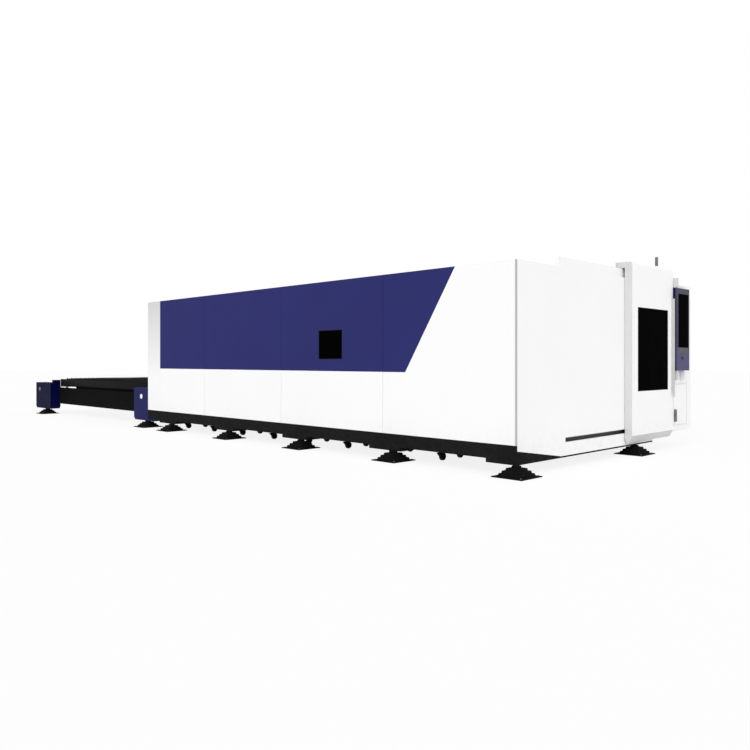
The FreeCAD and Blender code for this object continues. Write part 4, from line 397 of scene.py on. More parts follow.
# ------------------------------------------------------------------ mesh helpers
class Build:
    """Collects solid shapes, each with its edges softened, into one mesh."""

    SHARP = 0.6

    def __init__(self):
        self.bm = bmesh.new()
        self.materials = []

    def take(self, part, soften, material):
        """Add a shape, with its sharp edges rounded by soften millimetres."""
        bmesh.ops.recalc_face_normals(part, faces=part.faces)
        if soften:
            edges = [edge for edge in part.edges
                     if len(edge.link_faces) == 2 and edge.calc_face_angle(0) > self.SHARP]
            bmesh.ops.bevel(part, geom=edges, offset=soften / 1000, segments=2, profile=0.5,
                            affect="EDGES", clamp_overlap=True)
        if material not in self.materials:
            self.materials.append(material)
        index = self.materials.index(material)
        for face in part.faces:
            face.material_index = index
        mesh = bpy.data.meshes.new("part")
        part.to_mesh(mesh)
        part.free()
        self.bm.from_mesh(mesh)
        bpy.data.meshes.remove(mesh)

    def prism(self, base, top, material, soften=0.0):
        """A solid between two matching outlines."""
        part = bmesh.new()
        low = [part.verts.new(p) for p in base]
        high = [part.verts.new(p) for p in top]
        part.faces.new(low)
        part.faces.new(list(reversed(high)))
        count = len(low)
        for i in range(count):
            after = (i + 1) % count
            part.faces.new((low[i], high[i], high[after], low[after]))
        self.take(part, soften, material)

    def box(self, depths, spans, heights, material, soften=0.0):
        front, rear = depths
        near, far = spans
        base = [at(d, s, heights[0])
                for d, s in ((front, near), (rear, near), (rear, far), (front, far))]
        top = [Vector((p.x, p.y, heights[1] / 1000)) for p in base]
        self.prism(base, top, material, soften)

    def slab(self, outline, spans, material, soften=0.0):
        """An outline of (depth, height) points, run along the span."""
        near, far = ([at(d, span, h) for d, h in outline] for span in spans)
        self.prism(near, far, material, soften)

    def across(self, outline, depths, material, soften=0.0):
        """An outline of (span, height) points, run along the depth."""
        front, rear = ([at(depth, s, h) for s, h in outline] for depth in depths)
        self.prism(front, rear, material, soften)

    def turn(self, centre, axis, profile, material, sides=32):
        """A lathe shape: (offset along the axis, radius) pairs from one end to the other."""
        part = bmesh.new()
        rotation = Vector(UP).rotation_difference(Vector(axis))
        rings = []
        for along, radius in profile:
            ring = []
            for i in range(sides):
                angle = 2 * math.pi * i / sides
                local = Vector((radius * math.cos(angle), radius * math.sin(angle), along)) / 1000
                ring.append(part.verts.new(centre + rotation @ local))
            rings.append(ring)
        for one, two in zip(rings, rings[1:]):
            for i in range(sides):
                after = (i + 1) % sides
                part.faces.new((one[i], one[after], two[after], two[i]))
        part.faces.new(rings[0])
        part.faces.new(rings[-1])
        self.take(part, 0, material)

    def hexagon(self, centre, axis, radius, length, material):
        """A screw's head, chamfered at both ends."""
        rim = radius * 0.93
        profile = [(0, rim), (length * 0.12, radius), (length * 0.88, radius), (length, rim)]
        self.turn(centre, axis, profile, material, 6)

    def finish(self, name, body, replaces=()):
        """Make the mesh a piece that rides on a body, in place of any nodes it replaces."""
        mesh = bpy.data.meshes.new(name)
        bmesh.ops.recalc_face_normals(self.bm, faces=self.bm.faces)
        self.bm.to_mesh(mesh)
        self.bm.free()
        for polygon in mesh.polygons:
            polygon.use_smooth = True
        mesh.set_sharp_from_angle(angle=math.radians(38.0))
        for material in self.materials:
            mesh.materials.append(material)
        obj = bpy.data.objects.new(name, mesh)
        bpy.context.scene.collection.objects.link(obj)
        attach(obj, body)
        if replaces:
            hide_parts(*replaces)


def strips(sides, ends, width):
    """The four strips inside a rectangle's edges, each as its two ranges."""
    (left, right), (low, high) = sides, ends
    inner = (left + width, right - width)
    return (((left, left + width), ends), ((right - width, right), ends),
            (inner, (low, low + width)), (inner, (high - width, high)))


# ------------------------------------------------------------------ levelling feet
CART_ONE = 1776
CART_PITCH = 1680
CART_HALF = 740
CART_GAPS = [CART_ONE + CART_PITCH * (i - 0.5) for i in (1, 2, 3)]


def stepped_plate(build, centre, neck_top):
    """A square foot in leaning tiers, with a bolt at each corner and its neck above."""
    # Each tier's width, bottom, top and softened edge.
    tiers = ((380, 0, 11, 1.5), (278, 11, 40, 3), (227, 38, 67, 3), (168, 65, 94, 3))
    tier_lean, neck_foot, neck_radius, bolt_set = 4, 93, 50, 160
    for width, low, high, soften in tiers:
        half = width / 2
        lean = tier_lean if low else 0
        base, top = ([centre + Vector((x * reach, y * reach, height)) / 1000 for x, y in CORNERS]
                     for reach, height in ((half, low), (half - lean, high)))
        build.prism(base, top, BLACK, soften)
    neck = [(0, neck_radius - 2), (2, neck_radius), (neck_top - neck_foot - 3, neck_radius),
            (neck_top - neck_foot, neck_radius - 3)]
    build.turn(centre + Vector((0, 0, neck_foot)) / 1000, UP, neck, BLACK, 24)
    for x, y in CORNERS:
        spot = centre + Vector((x * bolt_set, y * bolt_set, 10)) / 1000
        build.hexagon(spot, UP, 11, 8, TRIM)


def make_feet():
    bed_neck, bay_neck = 116, 230
    near_pitch, near_count = 1767, 5
    far_row, bay_row = BED - 535, BAY_FAR - 240
    bay_front = 780
    bed_rear = CART_ONE + CART_PITCH * 3 + CART_HALF + 63
    table_ends, table_inset = (8028, 12802), 60
    build = Build()
    for i in range(near_count):
        stepped_plate(build, at(near_pitch * i, 0, 0), bed_neck)
    for depth in [0] + CART_GAPS + [bed_rear]:
        stepped_plate(build, at(depth, far_row, 0), bed_neck)
    for depth in (bay_front, CART_GAPS[0]):
        stepped_plate(build, at(depth, bay_row, 0), bay_neck)
    for depth in table_ends:
        for span in (table_inset, BED - table_inset):
            stepped_plate(build, at(depth, span, 0), bed_neck)
    build.finish("feet_detailed", "machine_frame", ["levelling_feet"])


# ------------------------------------------------------------------ slag carts
def make_castor(build, depth, span):
    """A swivel castor whose wheel trails to the far side, as the cart was pushed in."""
    radius, trail, half, fork_set = 48, 32, 45, 27
    swivel = span - trail
    swivel_spans = (swivel - half, swivel + half)
    hub = at(depth, span, radius)
    tread = [(-21, 36), (-19.5, 45), (-14, radius), (14, radius), (19.5, 45), (21, 36)]
    build.turn(hub, FORWARD, tread, RUBBER, 28)
    build.turn(hub, FORWARD, [(-22.5, 10), (-22.5, 33), (22.5, 33), (22.5, 10)], BLACK, 24)
    for side in (-1, 1):
        fork = [(span - 20, 32), (span + 20, 32), (swivel + half, 93), (swivel - half, 93)]
        middle = depth + side * fork_set
        build.across(fork, (middle - 3, middle + 3), BLACK, 1)
    build.box((depth - 33, depth + 33), swivel_spans, (88, 95), BLACK, 1)
    build.turn(at(depth, swivel, 95), UP, [(0, 25), (8, 26), (11, 22), (12, 22)], BLACK, 24)
    build.box((depth - 40, depth + 40), swivel_spans, (106, 112), BLACK, 1)
    build.turn(hub, FORWARD, [(-29, 7), (29, 7)], TRIM, 12)


def make_carts():
    left, right = 300, BED - 300
    low, top = 112, 216
    sheet, rim = 4, 16
    grip_height, grip_reach, grip_half = 181, 25, 55
    castor_set, castor_spans = 420, (430, 770, BED - 770, BED - 430)
    for number in (1, 2, 3, 4):
        middle = CART_ONE + CART_PITCH * (number - 1)
        front, rear = middle - CART_HALF, middle + CART_HALF
        build = Build()
        build.box((front, rear), (left, right), (low, low + sheet), CHARCOAL, 1)
        for width, bottom in ((sheet, low + sheet - 1), (rim, top - sheet)):
            for depths, spans in strips((front, rear), (left, right), width):
                build.box(depths, spans, (bottom, top), CHARCOAL, 1)
        for share in (0.25, 0.5, 0.75):
            span = left + share * (right - left)
            build.box((front + sheet, rear - sheet), (span - 12, span + 12),
                      (low + sheet, low + 12), CHARCOAL, 1)
        for side in (-grip_half, grip_half):
            post = at(middle + side, right, grip_height)
            build.turn(post, ACROSS, [(0, 5), (grip_reach, 5)], TRIM, 12)
        grip = [(0, 4), (2, 5), (116, 5), (118, 4)]
        build.turn(at(middle + 59, right + grip_reach, grip_height), FORWARD, grip, TRIM, 12)
        for span in castor_spans:
            for depth in (middle - castor_set, middle + castor_set):
                make_castor(build, depth, span)
        tag = "cart_%d" % number
        build.finish(tag + "_detailed", tag, ["slag_" + tag])


# ------------------------------------------------------------------ pallets
PALLET_LENGTH = 4700
PALLET_SPANS = (250, BED - 250)
PALLET_INSET = 60
FRAME_RISE = 110


def pallet_wheel(build, depth, span, inward, bottom):
    """A wheel with chamfered rims, and the bracket that carries it on the inner side."""
    radius, axle = 42.5, bottom - 47.5
    hub = at(depth, span + inward * 14, axle)
    build.turn(hub, ACROSS, [(-14, 36), (-12, radius), (12, radius), (14, 36)], GROUND, 32)
    build.turn(hub, (0, inward, 0), [(13, 12), (24, 12)], TRIM, 16)
    low, toe = bottom - 50, bottom - 66
    bracket = [(depth - 26, low), (depth - 12, toe), (depth + 12, toe), (depth + 26, low),
               (depth + 26, bottom), (depth - 26, bottom)]
    faces = sorted((span + inward * 28.5, span + inward * 37))
    build.slab(bracket, faces, CHARCOAL, 1)
    build.hexagon(at(depth, span + inward * 37, axle), (0, inward, 0), 10, 5, TRIM)


def toothed_edge(bottom):
    """A slat's outline from the near side, its pointed teeth cut along the top."""
    teeth, root, valley, tip = 26, 116, 118, 150
    near, far = PALLET_SPANS[0] + PALLET_INSET, PALLET_SPANS[1] - PALLET_INSET
    width = far - near
    pitch = width / teeth
    outline = [(near, bottom + 30), (far, bottom + 30)]
    for tooth in range(teeth, 0, -1):
        right = near + width * tooth / teeth
        left = right - pitch
        outline += [(right, bottom + root), (right - pitch * 0.22, bottom + valley),
                    ((left + right) / 2, bottom + tip), (left + pitch * 0.22, bottom + valley)]
    outline.append((near, bottom + root))
    return outline


def make_pallet(level, start, bottom):
    """One pallet, from its front end and the bottom of its frame."""
    near, far = PALLET_SPANS
    end = start + PALLET_LENGTH
    plate, rail, cross = 8, 52, 60
    inner_depths = (start + cross, end - cross)
    inner_spans = (near + PALLET_INSET, far - PALLET_INSET)
    rise = (bottom, bottom + FRAME_RISE)
    skirt = (bottom - 37, bottom + 125)
    body = level + "_pallet"

    build = Build()
    for span in (near, far - plate):
        build.box((start, end), (span, span + plate), skirt, SKIRT_WITH_SHADOW, 1.5)
    for span in (near + plate, far - plate - rail):
        build.box((start, end), (span, span + rail), rise, CHARCOAL, 4)
    for depth in (start, end - cross):
        build.box((depth, depth + cross), inner_spans, rise, CHARCOAL, 4)
    for share in (1 / 3, 2 / 3):
        span = near + share * (far - near)
        build.box(inner_depths, (span - 30, span + 30), (bottom, bottom + 30), CHARCOAL, 3)
    wheel_inset, wheel_rows = 300, 4
    for row in range(wheel_rows):
        depth = start + wheel_inset + (PALLET_LENGTH - 2 * wheel_inset) * row / (wheel_rows - 1)
        for span, inward in ((near + 12, 1), (far - 12, -1)):
            pallet_wheel(build, depth, span, inward, bottom)
    build.finish(body + "_detailed", body, [body + "_frame"])

    build = Build()
    count, half = 46, 2
    outline = toothed_edge(bottom)
    for i in range(count):
        depth = start + cross + (PALLET_LENGTH - 2 * cross) * (i + 0.5) / count
        build.across(outline, (depth - half, depth + half), SLAT)
    for span in (near + 62, far - 68):
        build.box(inner_depths, (span, span + 6), (bottom + 78, bottom + 112), CHARCOAL, 1)
    build.finish(level + "_slats_detailed", body, [body + "_slats"])


# ------------------------------------------------------------------ operator's end
def make_lamp():
    """White pole with a dark three-tier head."""
    foot = at(180, 3704, 2255)
    pole, head = 13, 21
    build = Build()
    stem = [(0, head), (6, head), (8, 16), (14, pole), (276, pole), (284, 17)]
    build.turn(foot, UP, stem, WHITE, 28)
    tiers = [(284, 18), (286, head)]
    for ring in (318, 350, 382):
        groove = head - 1.5
        tiers += [(ring - 1.5, head), (ring - 1, groove), (ring + 1, groove), (ring + 1.5, head)]
    build.turn(foot, UP, tiers + [(403, head), (409, 17), (412, 9)], LAMP, 28)
    build.finish("lamp_detailed", "machine_frame", ["signal_lamp"])


def make_door_handle():
    """A deep blade with its finger groove on the far side and a pointed lower end."""
    low, high = 708, 2050
    face = DOOR_FACE - 38
    groove, groove_top, groove_bottom = face + 14, high - 40, low + 160
    build = Build()
    blade = [(DOOR_FACE, low + 120), (face, low), (face, high), (DOOR_FACE, high),
             (DOOR_FACE, groove_top), (groove, groove_top), (groove, groove_bottom),
             (DOOR_FACE, groove_bottom)]
    build.slab(blade, (3529, 3555), HANDLE, 2)
    web = [(DOOR_FACE, low + 122), (face + 1, low + 6), (face + 1, high - 1), (DOOR_FACE, high - 1)]
    build.slab(web, (3529.4, 3534), HANDLE, 1)
    build.finish("door_handle_detailed", "front_door", ["front_door_handle"])


def make_window_seals():
    """Rubber round the door's window and the side window."""
    width = 6
    build = Build()
    for spans, heights in strips((2528, 3421), (814, 1885), width):
        build.box((DOOR_FACE + 1, -91), spans, heights, RUBBER, 1)
    build.finish("door_window_seal", "front_door")
    build = Build()
    for depths, heights in strips((2689, 3159), (1223, 1609), width):
        build.box(depths, (0.6, 5), heights, RUBBER, 1)
    build.finish("side_window_seal", "machine_frame")


def make_cabinet_seals():
    """A grey line round the cabinet door, clear of its hinge, and a strip on the door beside
    the hinge: painted shadow lines that stand for the gap round the door."""
    left, right, low, high = 3598, 4056, 321, 877
    line, gap, strip_start = 3.2, 0.6, 4031
    bottom, top = low - gap - line, high + gap + line
    face = (-94.6, -93)
    build = Build()
    for heights in ((bottom, low - gap), (high + gap, top)):
        build.box(face, (left - gap, strip_start), heights, SEAL_GAP_GREY, 0.6)
    for spans in ((left - gap - line, left - gap), (right, right + line)):
        build.box(face, spans, (bottom, top), SEAL_GAP_GREY, 0.6)
    build.finish("cabinet_gap_shadow_line", "machine_frame")
    build = Build()
    build.box((-106.4, -105.3), (strip_start, strip_start + 6), (low + 2, high - 2), SEAL_GAP_GREY, 0.4)
    build.finish("cabinet_door_shadow_strip", "cabinet_hatch")


def make_door_edges():
    """Caps on the open ends of the door's top flange, which carry the door's painted shade, and
    brush seals behind its two edges, whose pale grey also paints light into the dark gap there.
    """
    build = Build()
    for spans in ((2370, 2374), (3576, 3580)):
        build.box((-8, 108), spans, (2376, 2440), DOOR_WHITE_WITH_SHADE, 1)
    build.finish("door_hood_caps", "front_door")
    build = Build()
    for spans in ((2370.5, 2378), (3572, 3579.5)):
        build.box((-7.9, -0.7), spans, (346, 2248), SEAL_GAP_GREY, 0.5)
    build.finish("door_brush_seals_gap_fill", "front_door")


def make_latch():
    """The cabinet door's upright pull, on its base plate."""
    low, high, post, reach, blade = 367, 533, 40, 26, 10
    front, back = CABINET_FACE - reach, CABINET_FACE - reach + blade
    build = Build()
    build.box((CABINET_FACE - 5, CABINET_FACE), (3610, 3656), (low, high), LATCH, 1)
    side = [(CABINET_FACE, low), (front, low), (front, high), (CABINET_FACE, high),
            (CABINET_FACE, high - post), (back, high - post), (back, low + post),
            (CABINET_FACE, low + post)]
    build.slab(side, (3612, 3654), LATCH, 1.5)
    build.finish("latch_detailed", "cabinet_hatch", ["cabinet_handle"])


def make_keys():
    """The key strip under the screen: rows of low keys on a plate."""
    left, right, low, high = 3626, 3961, 1297, 1386
    rows, columns = 3, 12
    key_half, key_rise = 11, 11.5
    build = Build()
    build.box((-157.4, -155), (left, right), (low, high), KEYS)
    for row in range(rows):
        for column in range(columns):
            span = left + (right - left) * (column + 0.5) / columns
            height = low + (high - low) * (row + 0.5) / rows
            build.box((-160, -157), (span - key_half, span + key_half),
                      (height - key_rise, height + key_rise), KEYS, 1.6)
    build.finish("keys_detailed", "operator_panel", ["panel_keys"])


def make_stop():
    """The emergency stop: a stem and a mushroom head."""
    build = Build()
    profile = [(0, 10.6), (31, 10.6), (32, 15), (34, 18.5), (37, 20), (42, 20), (45.5, 17.5),
               (47.5, 12), (48, 5)]
    build.turn(at(-136, 3752, 1240), FORWARD, profile, STOP, 40)
    build.finish("stop_detailed", "stop_button", ["emergency_stop"])


def make_cover_plates():
    """The bare round plates on the table's blue covers."""
    build = Build()
    # Painted shade: the far plate takes a darker grey than the near one.
    for depth, height, material in ((8215, 549, BADGE), (13177, 552, LATCH)):
        plate = [(0, 45), (2.4, 45), (3, 44)]
        build.turn(at(depth, 22, height), NEARWARD, plate, material, 40)
    build.finish("cover_plates", "machine_frame")


# ------------------------------------------------------------------ exchange drive
SHAFT_DEPTH = 12982
SHOE_DEPTH = 7640
SHAFT_HEIGHTS = (("upper", 602), ("lower", 345))
CHAIN_SPANS = (318, BED - 334)


def loop_spot(run, radius):
    """A place on the chain's loop: its depth, and its height from the shaft's axis."""
    straight = SHAFT_DEPTH - SHOE_DEPTH
    bend = math.pi * radius
    run %= 2 * (straight + bend)
    if run < straight:
        return SHOE_DEPTH + run, radius
    run -= straight
    if run < bend:
        angle = run / radius
        return SHAFT_DEPTH + radius * math.sin(angle), radius * math.cos(angle)
    run -= bend
    if run < straight:
        return SHAFT_DEPTH - run, -radius
    angle = (run - straight) / radius
    return SHOE_DEPTH - radius * math.sin(angle), -radius * math.cos(angle)


def link_outline(one, two, half, axis_height):
    """A link plate between two pins, rounded at both ends."""
    along = Vector((two[0] - one[0], two[1] - one[1])).normalized()
    side = Vector((-along.y, along.x))
    outline = []
    for pin, way in ((two, 1), (one, -1)):
        for turn in (1, 0.35, -0.35, -1):
            reach = half * math.sqrt(1 - turn * turn * 0.98)
            spot = Vector(pin) + way * along * reach + way * turn * half * side
            outline.append((spot.x, axis_height + spot.y))
    return outline


def make_chains():
    """Roller chains: outer and inner plates in turn, with a roller on every pin."""
    radius, plate, half, pitch, width = 34.4, 2.2, 3.7, 31.75, 16
    length = 2 * (SHAFT_DEPTH - SHOE_DEPTH + math.pi * radius)
    count = 2 * round(length / pitch / 2)
    roller = [(0, 3.2), (width - 4 * plate, 3.2)]
    build = Build()
    for _, height in SHAFT_HEIGHTS:
        for span in CHAIN_SPANS:
            for i in range(count):
                one = loop_spot(length * i / count, radius)
                two = loop_spot(length * (i + 1) / count, radius)
                outline = link_outline(one, two, half, height)
                inset = 0 if i % 2 else plate
                for low in (span + inset, span + width - inset - plate):
                    build.slab(outline, (low, low + plate), OILED)
                pin = at(one[0], span + 2 * plate, height + one[1])
                build.turn(pin, ACROSS, roller, OILED, 6)
    build.finish("chains_detailed", "machine_frame", ["drive_chains"])


def toothed(tip, root, teeth):
    """Outline of a toothed wheel, as offsets from its axis."""
    outline = []
    for i in range(teeth):
        for share, radius in ((0.0, root), (0.22, root), (0.4, tip), (0.6, tip), (0.78, root)):
            angle = 2 * math.pi * (i + share) / teeth
            outline.append((radius * math.sin(angle), radius * math.cos(angle)))
    return outline


def make_shafts():
    low, high = 245.3, BED - 245.3
    length, radius = high - low, 12
    shaft = [(0, radius - 1.5), (1.5, radius), (length - 1.5, radius), (length, radius - 1.5)]
    hub = [(0, 20), (1, 21), (21, 21), (22, 20)]
    for level, height in SHAFT_HEIGHTS:
        build = Build()
        build.turn(at(SHAFT_DEPTH, low, height), ACROSS, shaft, TURNED, 28)
        for start in (315, BED - 337):
            ring = [(SHAFT_DEPTH + x, height + z) for x, z in toothed(tip=30, root=27, teeth=15)]
            build.slab(ring, (start + 5, start + 17), TURNED, 0.6)
            build.turn(at(SHAFT_DEPTH, start, height), ACROSS, hub, TURNED, 28)
        build.finish(level + "_shaft_detailed", level + "_shaft", [level + "_drive_shaft"])


def finned_motor(build, start, axis, length, radius):
    """A motor seen from its flange: flange, cooling fins and a cowl at the end."""
    fin_pitch, fin_foot = 6, 10
    root, ridge, cowl = radius * 0.84, radius * 0.98, radius * 0.95
    profile = [(0, radius * 0.97), (1, radius), (7, radius), (8, radius * 0.86)]
    fins = int((length * 0.6) / fin_pitch)
    for i in range(fins):
        foot = fin_foot + fin_pitch * i
        profile += [(foot, root), (foot + 0.6, ridge), (foot + 2.4, ridge), (foot + 3, root)]
    cowl_foot = 12 + fin_pitch * fins
    profile += [(cowl_foot, root), (cowl_foot + 1, cowl), (length - 3, cowl),
                (length, radius * 0.86)]
    build.turn(start, axis, profile, BLACK, 32)


def make_drive_motors():
    """Both chain gearmotors, and the plate that carries them behind the shafts."""
    plate, gearbox = 13142, 120
    build = Build()
    build.box((plate, plate + 20), (BED_MIDDLE - 260, BED_MIDDLE + 260), (285, 672), BLACK, 2)
    for height in (320, 640):
        for span in (BED_MIDDLE - 235, BED_MIDDLE + 235):
            build.hexagon(at(plate, span, height), FORWARD, 11, 8, TRIM)
    # Each motor: the gearbox's near side, the motor's flange and the way that it points.
    places = ((BED_MIDDLE - 220, BED_MIDDLE - 100, 1), (BED_MIDDLE + 60, BED_MIDDLE + 60, -1))
    for (_, height), (box_at, motor_at, way) in zip(SHAFT_HEIGHTS, places):
        box_end = box_at + gearbox
        build.box((SHAFT_DEPTH - 45, plate), (box_at, box_end), (height - 42, height + 52),
                  BLACK, 6)
        for side, out in ((box_at, -1), (box_end, 1)):
            start = at(SHAFT_DEPTH, side - 3 * out, height)
            build.turn(start, (0, out, 0), [(0, 34), (2, 34), (3, 33)], TRIM, 28)
        for rise in (-30, 40):
            spot = at(SHAFT_DEPTH - 40, box_at + gearbox / 2, height + rise)
            build.hexagon(spot, FORWARD, 7, 5, TRIM)
        finned_motor(build, at(SHAFT_DEPTH + 95, motor_at, height), (0, way, 0), 150, 35)
        terminals = sorted((motor_at + way * 40, motor_at + way * 95))
        build.box((SHAFT_DEPTH + 62, SHAFT_DEPTH + 128), terminals, (height - 35, height - 12),
                  BLACK, 3)
    build.finish("drive_motors_detailed", "machine_frame", ["drive_gearmotors"])


# ------------------------------------------------------------------ gantry and cutting head
PINION_DEPTH = 1980
PINION_SPANS = (("near", 220.3), ("far", BED - 220.3))
HEAD_DEPTH = 2516


def square(build, base, axis, reach, half, material, soften=2.0):
    """A square block between two offsets from its base, along the depth or the height."""
    depth, span, height = base
    low, high = reach
    depths, heights = (depth - half, depth + half), (height - half, height + half)
    if axis == "depth":
        depths = (depth + low, depth + high)
    else:
        heights = (height + low, height + high)
    build.box(depths, (span - half, span + half), heights, material, soften)


def servo(build, base, axis, length, half):
    """A square servo motor: flange, body, joint and encoder cap."""
    square(build, base, axis, (0, 8), half, BLACK, 1.5)
    square(build, base, axis, (8, length * 0.7), half * 0.93, BLACK, 3)
    square(build, base, axis, (length * 0.7, length * 0.73), half * 0.84, TRIM, 1)
    square(build, base, axis, (length * 0.73, length), half * 0.88, BLACK, 4)


def make_gantry_motors():
    gear_low, gear_high, half = 960.3, 1085.3, 55
    flange, gear_length, bolt_set = 14, 125, 45
    build = Build()
    for _, span in PINION_SPANS:
        base = (PINION_DEPTH, span, gear_low)
        square(build, base, "height", (0, flange), half, BLACK)
        square(build, base, "height", (flange, gear_length - flange), half - 5, TRIM, 6)
        square(build, base, "height", (gear_length - flange, gear_length), half, BLACK)
        for x in (-bolt_set, bolt_set):
            for y in (-bolt_set, bolt_set):
                spot = at(PINION_DEPTH + x, span + y, gear_low + flange)
                build.hexagon(spot, UP, 6, 5, TRIM)
        servo(build, (PINION_DEPTH, span, gear_high), "height", 125, 44)
    build.finish("gantry_motors_detailed", "gantry", ["x_gearmotors"])


def make_carriage_motors():
    shelf_low, shelf_high, half = 1470.3, 1484.3, 35
    build = Build()
    servo(build, (2409, BED_MIDDLE + 120, 1160.6), "depth", 140, half)
    build.box((2385, 2499), (BED_MIDDLE - 60, BED_MIDDLE + 60), (shelf_low, shelf_high),
              ALUMINIUM, 2)
    for depth, side in ((2492, -52), (2492, 52), (2392, -52), (2392, 52)):
        build.hexagon(at(depth, BED_MIDDLE + side, shelf_high), UP, 6, 5, TRIM)
    servo(build, (2448, BED_MIDDLE, shelf_high), "height", 156, half)
    build.finish("carriage_motors_detailed", "carriage", ["carriage_motors"])


def make_pinions():
    wheel_low, wheel_high = 862, 897
    collar = [(0, 16), (5, 16), (6, 10), (63, 10)]
    for tag, span in PINION_SPANS:
        build = Build()
        wheel = toothed(tip=30, root=24, teeth=20)
        base, top = ([at(PINION_DEPTH + y, span + x, height) for x, y in wheel]
                     for height in (wheel_low, wheel_high))
        build.prism(base, top, GROUND, 0.6)
        build.turn(at(PINION_DEPTH, span, wheel_high), UP, collar, TURNED, 24)
        build.finish("pinion_%s_detailed" % tag, "pinion_" + tag, ["x_pinion_" + tag])


def make_cutting_head():
    """Housing with its drawer, collimator, fibre connector and nozzle nut."""
    axis, middle = HEAD_DEPTH, BED_MIDDLE
    build = Build()
    build.box((2441, axis - 38), (middle - 30, middle + 30), (1080, 1160), ALUMINIUM, 3)
    build.box((axis - 39, axis + 39), (middle - 53, middle + 53), (1020, 1230), BLACK, 6)
    build.box((axis - 30, axis + 39), (middle - 55, middle + 55), (1046, 1076), TRIM, 3)
    for height in (1100, 1215):
        for side in (-46, 46):
            build.hexagon(at(axis + 38, middle + side, height), (-1, 0, 0), 5, 3, TRIM)
    collimator = [(0, 27.5), (24, 27.5), (25, 25.5), (40, 25.5), (41, 27.5), (64, 27.5),
                  (66, 21), (96, 21), (98, 17), (110, 17)]
    build.turn(at(axis, middle, 1230), UP, collimator, ALUMINIUM, 32)
    cone = [(0, 14), (18, 15), (22, 20), (40, 21), (44, 26), (62, 30), (80, 33)]
    build.turn(at(axis, middle, 940), UP, cone, ALUMINIUM, 32)
    build.finish("cutting_head_detailed", "height_slide", ["cutting_head"])


# ------------------------------------------------------------------ rear and far side
def make_rear_door_ribs():
    """Folded ribs across the rear door, and the rubber lip along its foot."""
    face, sides = 7502, (260, BED - 260)
    build = Build()
    for height in (1000, 1150, 1300, 1400):
        rib = [(face, height), (face + 8, height + 8), (face + 8, height + 34),
               (face, height + 42)]
        build.slab(rib, sides, WHITE, 1.5)
    build.box((face - 6, face + 5), sides, (945, 957), RUBBER, 2)
    build.finish("rear_door_ribs", "lift_door")


def make_far_side():
    """Cooling louvres and service doors on the far wall, which the photograph doesn't show."""
    face = BED
    louvre_width, edge, fins, fin_pitch = 460, 14, 14, 30
    low, high = 1486, 1936
    door_width = 700
    build = Build()
    for start in (3150, 5250):
        end = start + louvre_width
        for i in range(fins):
            height = 1500 + fin_pitch * i
            fin = [(face, height), (face + 9, height - 2), (face + 9, height + 1),
                   (face, height + 18)]
            build.across(fin, (start, end), WHITE, 0.8)
        for depths in ((start - edge, start), (end, end + edge)):
            build.box(depths, (face, face + 10), (low, high), WHITE, 1.5)
        for heights in ((low - 12, low), (high, high + 12)):
            build.box((start - edge, end + edge), (face, face + 10), heights, WHITE, 1.5)
    for start in (3060, 4600, 6200):
        build.box((start, start + door_width), (face, face + 4), (420, 1320), WHITE, 1.2)
        build.box((start + 640, start + 666), (face + 4, face + 9), (820, 940), TRIM, 2)
        for height in (520, 1220):
            build.turn(at(start - 6, face + 5, height), UP, [(0, 5), (80, 5)], ZINC, 14)
    build.finish("far_side_details", "machine_frame")


# ------------------------------------------------------------------ stage, light and camera
PURE_WHITE = (1, 1, 1, 1)
FLOOR_PAINT = (0.92, 0.92, 0.92, 1)
FLOOR_GLOW = 0.86
SKY = 0.64


def shown_rays(tree, share):
    """share for the rays that show the background: camera, glossy and transmission rays."""
    path = tree.nodes.new("ShaderNodeLightPath").outputs
    seen = maths(tree, "MAXIMUM", path["Is Camera Ray"], path["Is Glossy Ray"])
    seen = maths(tree, "MAXIMUM", seen, path["Is Transmission Ray"])
    return maths(tree, "MULTIPLY", seen, share)


def blend(tree, factor, one, two, out):
    """Join two shaders into an output's surface."""
    mix = tree.nodes.new("ShaderNodeMixShader")
    for source, target in zip((factor, one.outputs[0], two.outputs[0]), mix.inputs):
        tree.links.new(source, target)
    tree.links.new(mix.outputs[0], out.inputs["Surface"])


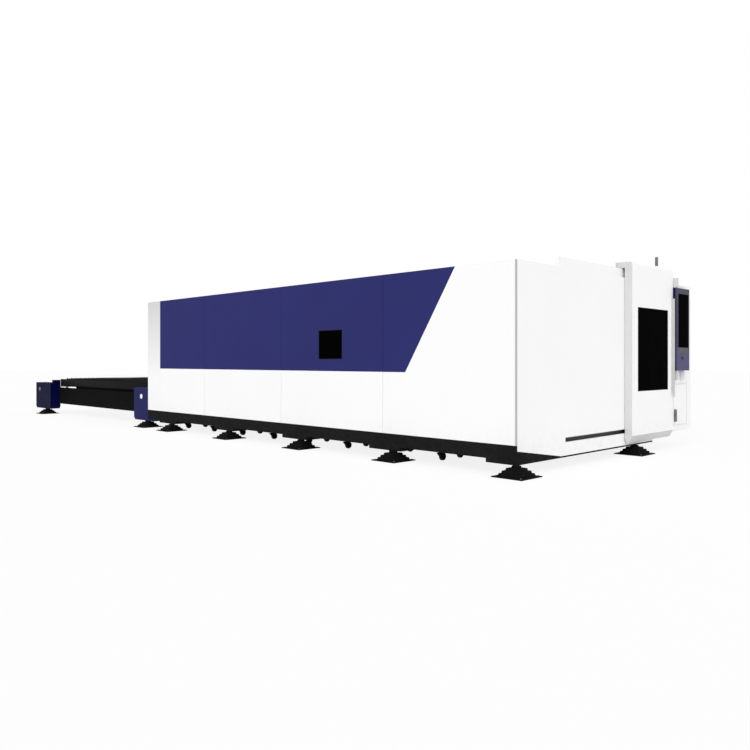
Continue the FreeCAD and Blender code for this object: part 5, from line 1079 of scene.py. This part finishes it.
def make_stage():
    """A pale floor that keeps the object's shadow and looks nearly white itself."""
    size = 90.0
    mesh = bpy.data.meshes.new("studio_floor")
    mesh.from_pydata([(x * size, y * size, 0) for x, y in CORNERS], [], [(0, 1, 2, 3)])
    floor = bpy.data.objects.new("studio_floor", mesh)
    bpy.context.scene.collection.objects.link(floor)
    mat = bpy.data.materials.new("studio_floor")
    mat.use_nodes = True
    tree = mat.node_tree
    tree.nodes.clear()
    out = tree.nodes.new("ShaderNodeOutputMaterial")
    diffuse = tree.nodes.new("ShaderNodeBsdfDiffuse")
    diffuse.inputs["Color"].default_value = FLOOR_PAINT
    glow = tree.nodes.new("ShaderNodeEmission")
    glow.inputs["Color"].default_value = PURE_WHITE
    blend(tree, shown_rays(tree, FLOOR_GLOW), diffuse, glow, out)
    mesh.materials.append(mat)


def background(tree, strength):
    node = tree.nodes.new("ShaderNodeBackground")
    node.inputs["Color"].default_value = PURE_WHITE
    node.inputs["Strength"].default_value = strength
    return node


def sun(name, source, strength, softness):
    light = bpy.data.lights.new(name, "SUN")
    light.energy = strength
    light.angle = math.radians(softness)
    obj = bpy.data.objects.new(name, light)
    obj.location = source
    obj.rotation_euler = (-Vector(source)).to_track_quat("-Z", "Y").to_euler()
    bpy.context.scene.collection.objects.link(obj)


def make_light():
    """An even sky that shows as plain white, and two soft lamps."""
    world = bpy.data.worlds.new("studio")
    bpy.context.scene.world = world
    world.use_nodes = True
    tree = world.node_tree
    tree.nodes.clear()
    out = tree.nodes.new("ShaderNodeOutputWorld")
    blend(tree, shown_rays(tree, 1.0), background(tree, SKY), background(tree, 1.0), out)
    sun("key", (4, -13, 10), 1.15, 40)
    sun("front", (14, -5, 8), 0.82, 50)


def make_camera():
    """The photograph's view, placed from the machine's near front corner."""
    data = bpy.data.cameras.new("view")
    data.sensor_width = 36
    data.lens = 34.9
    data.shift_y = -0.0187
    data.clip_end = 300
    camera = bpy.data.objects.new("view", data)
    camera.location = at(0, 0, 0) + Vector((4.314, -6.330, 1.2))
    forward = Vector((-0.7106, 0.7033, 0))
    camera.rotation_euler = forward.to_track_quat("-Z", "Y").to_euler()
    bpy.context.scene.collection.objects.link(camera)
    bpy.context.scene.camera = camera


make_feet()
make_carts()
make_pallet("upper", start=7840, bottom=665)
make_pallet("lower", start=2590, bottom=390)
make_lamp()
make_door_handle()
make_window_seals()
make_cabinet_seals()
make_door_edges()
make_latch()
make_keys()
make_stop()
make_cover_plates()
make_chains()
make_shafts()
make_drive_motors()
make_gantry_motors()
make_carriage_motors()
make_pinions()
make_cutting_head()
make_rear_door_ribs()
make_far_side()
make_stage()
make_light()
make_camera()
bpy.context.scene.view_settings.view_transform = "Standard"
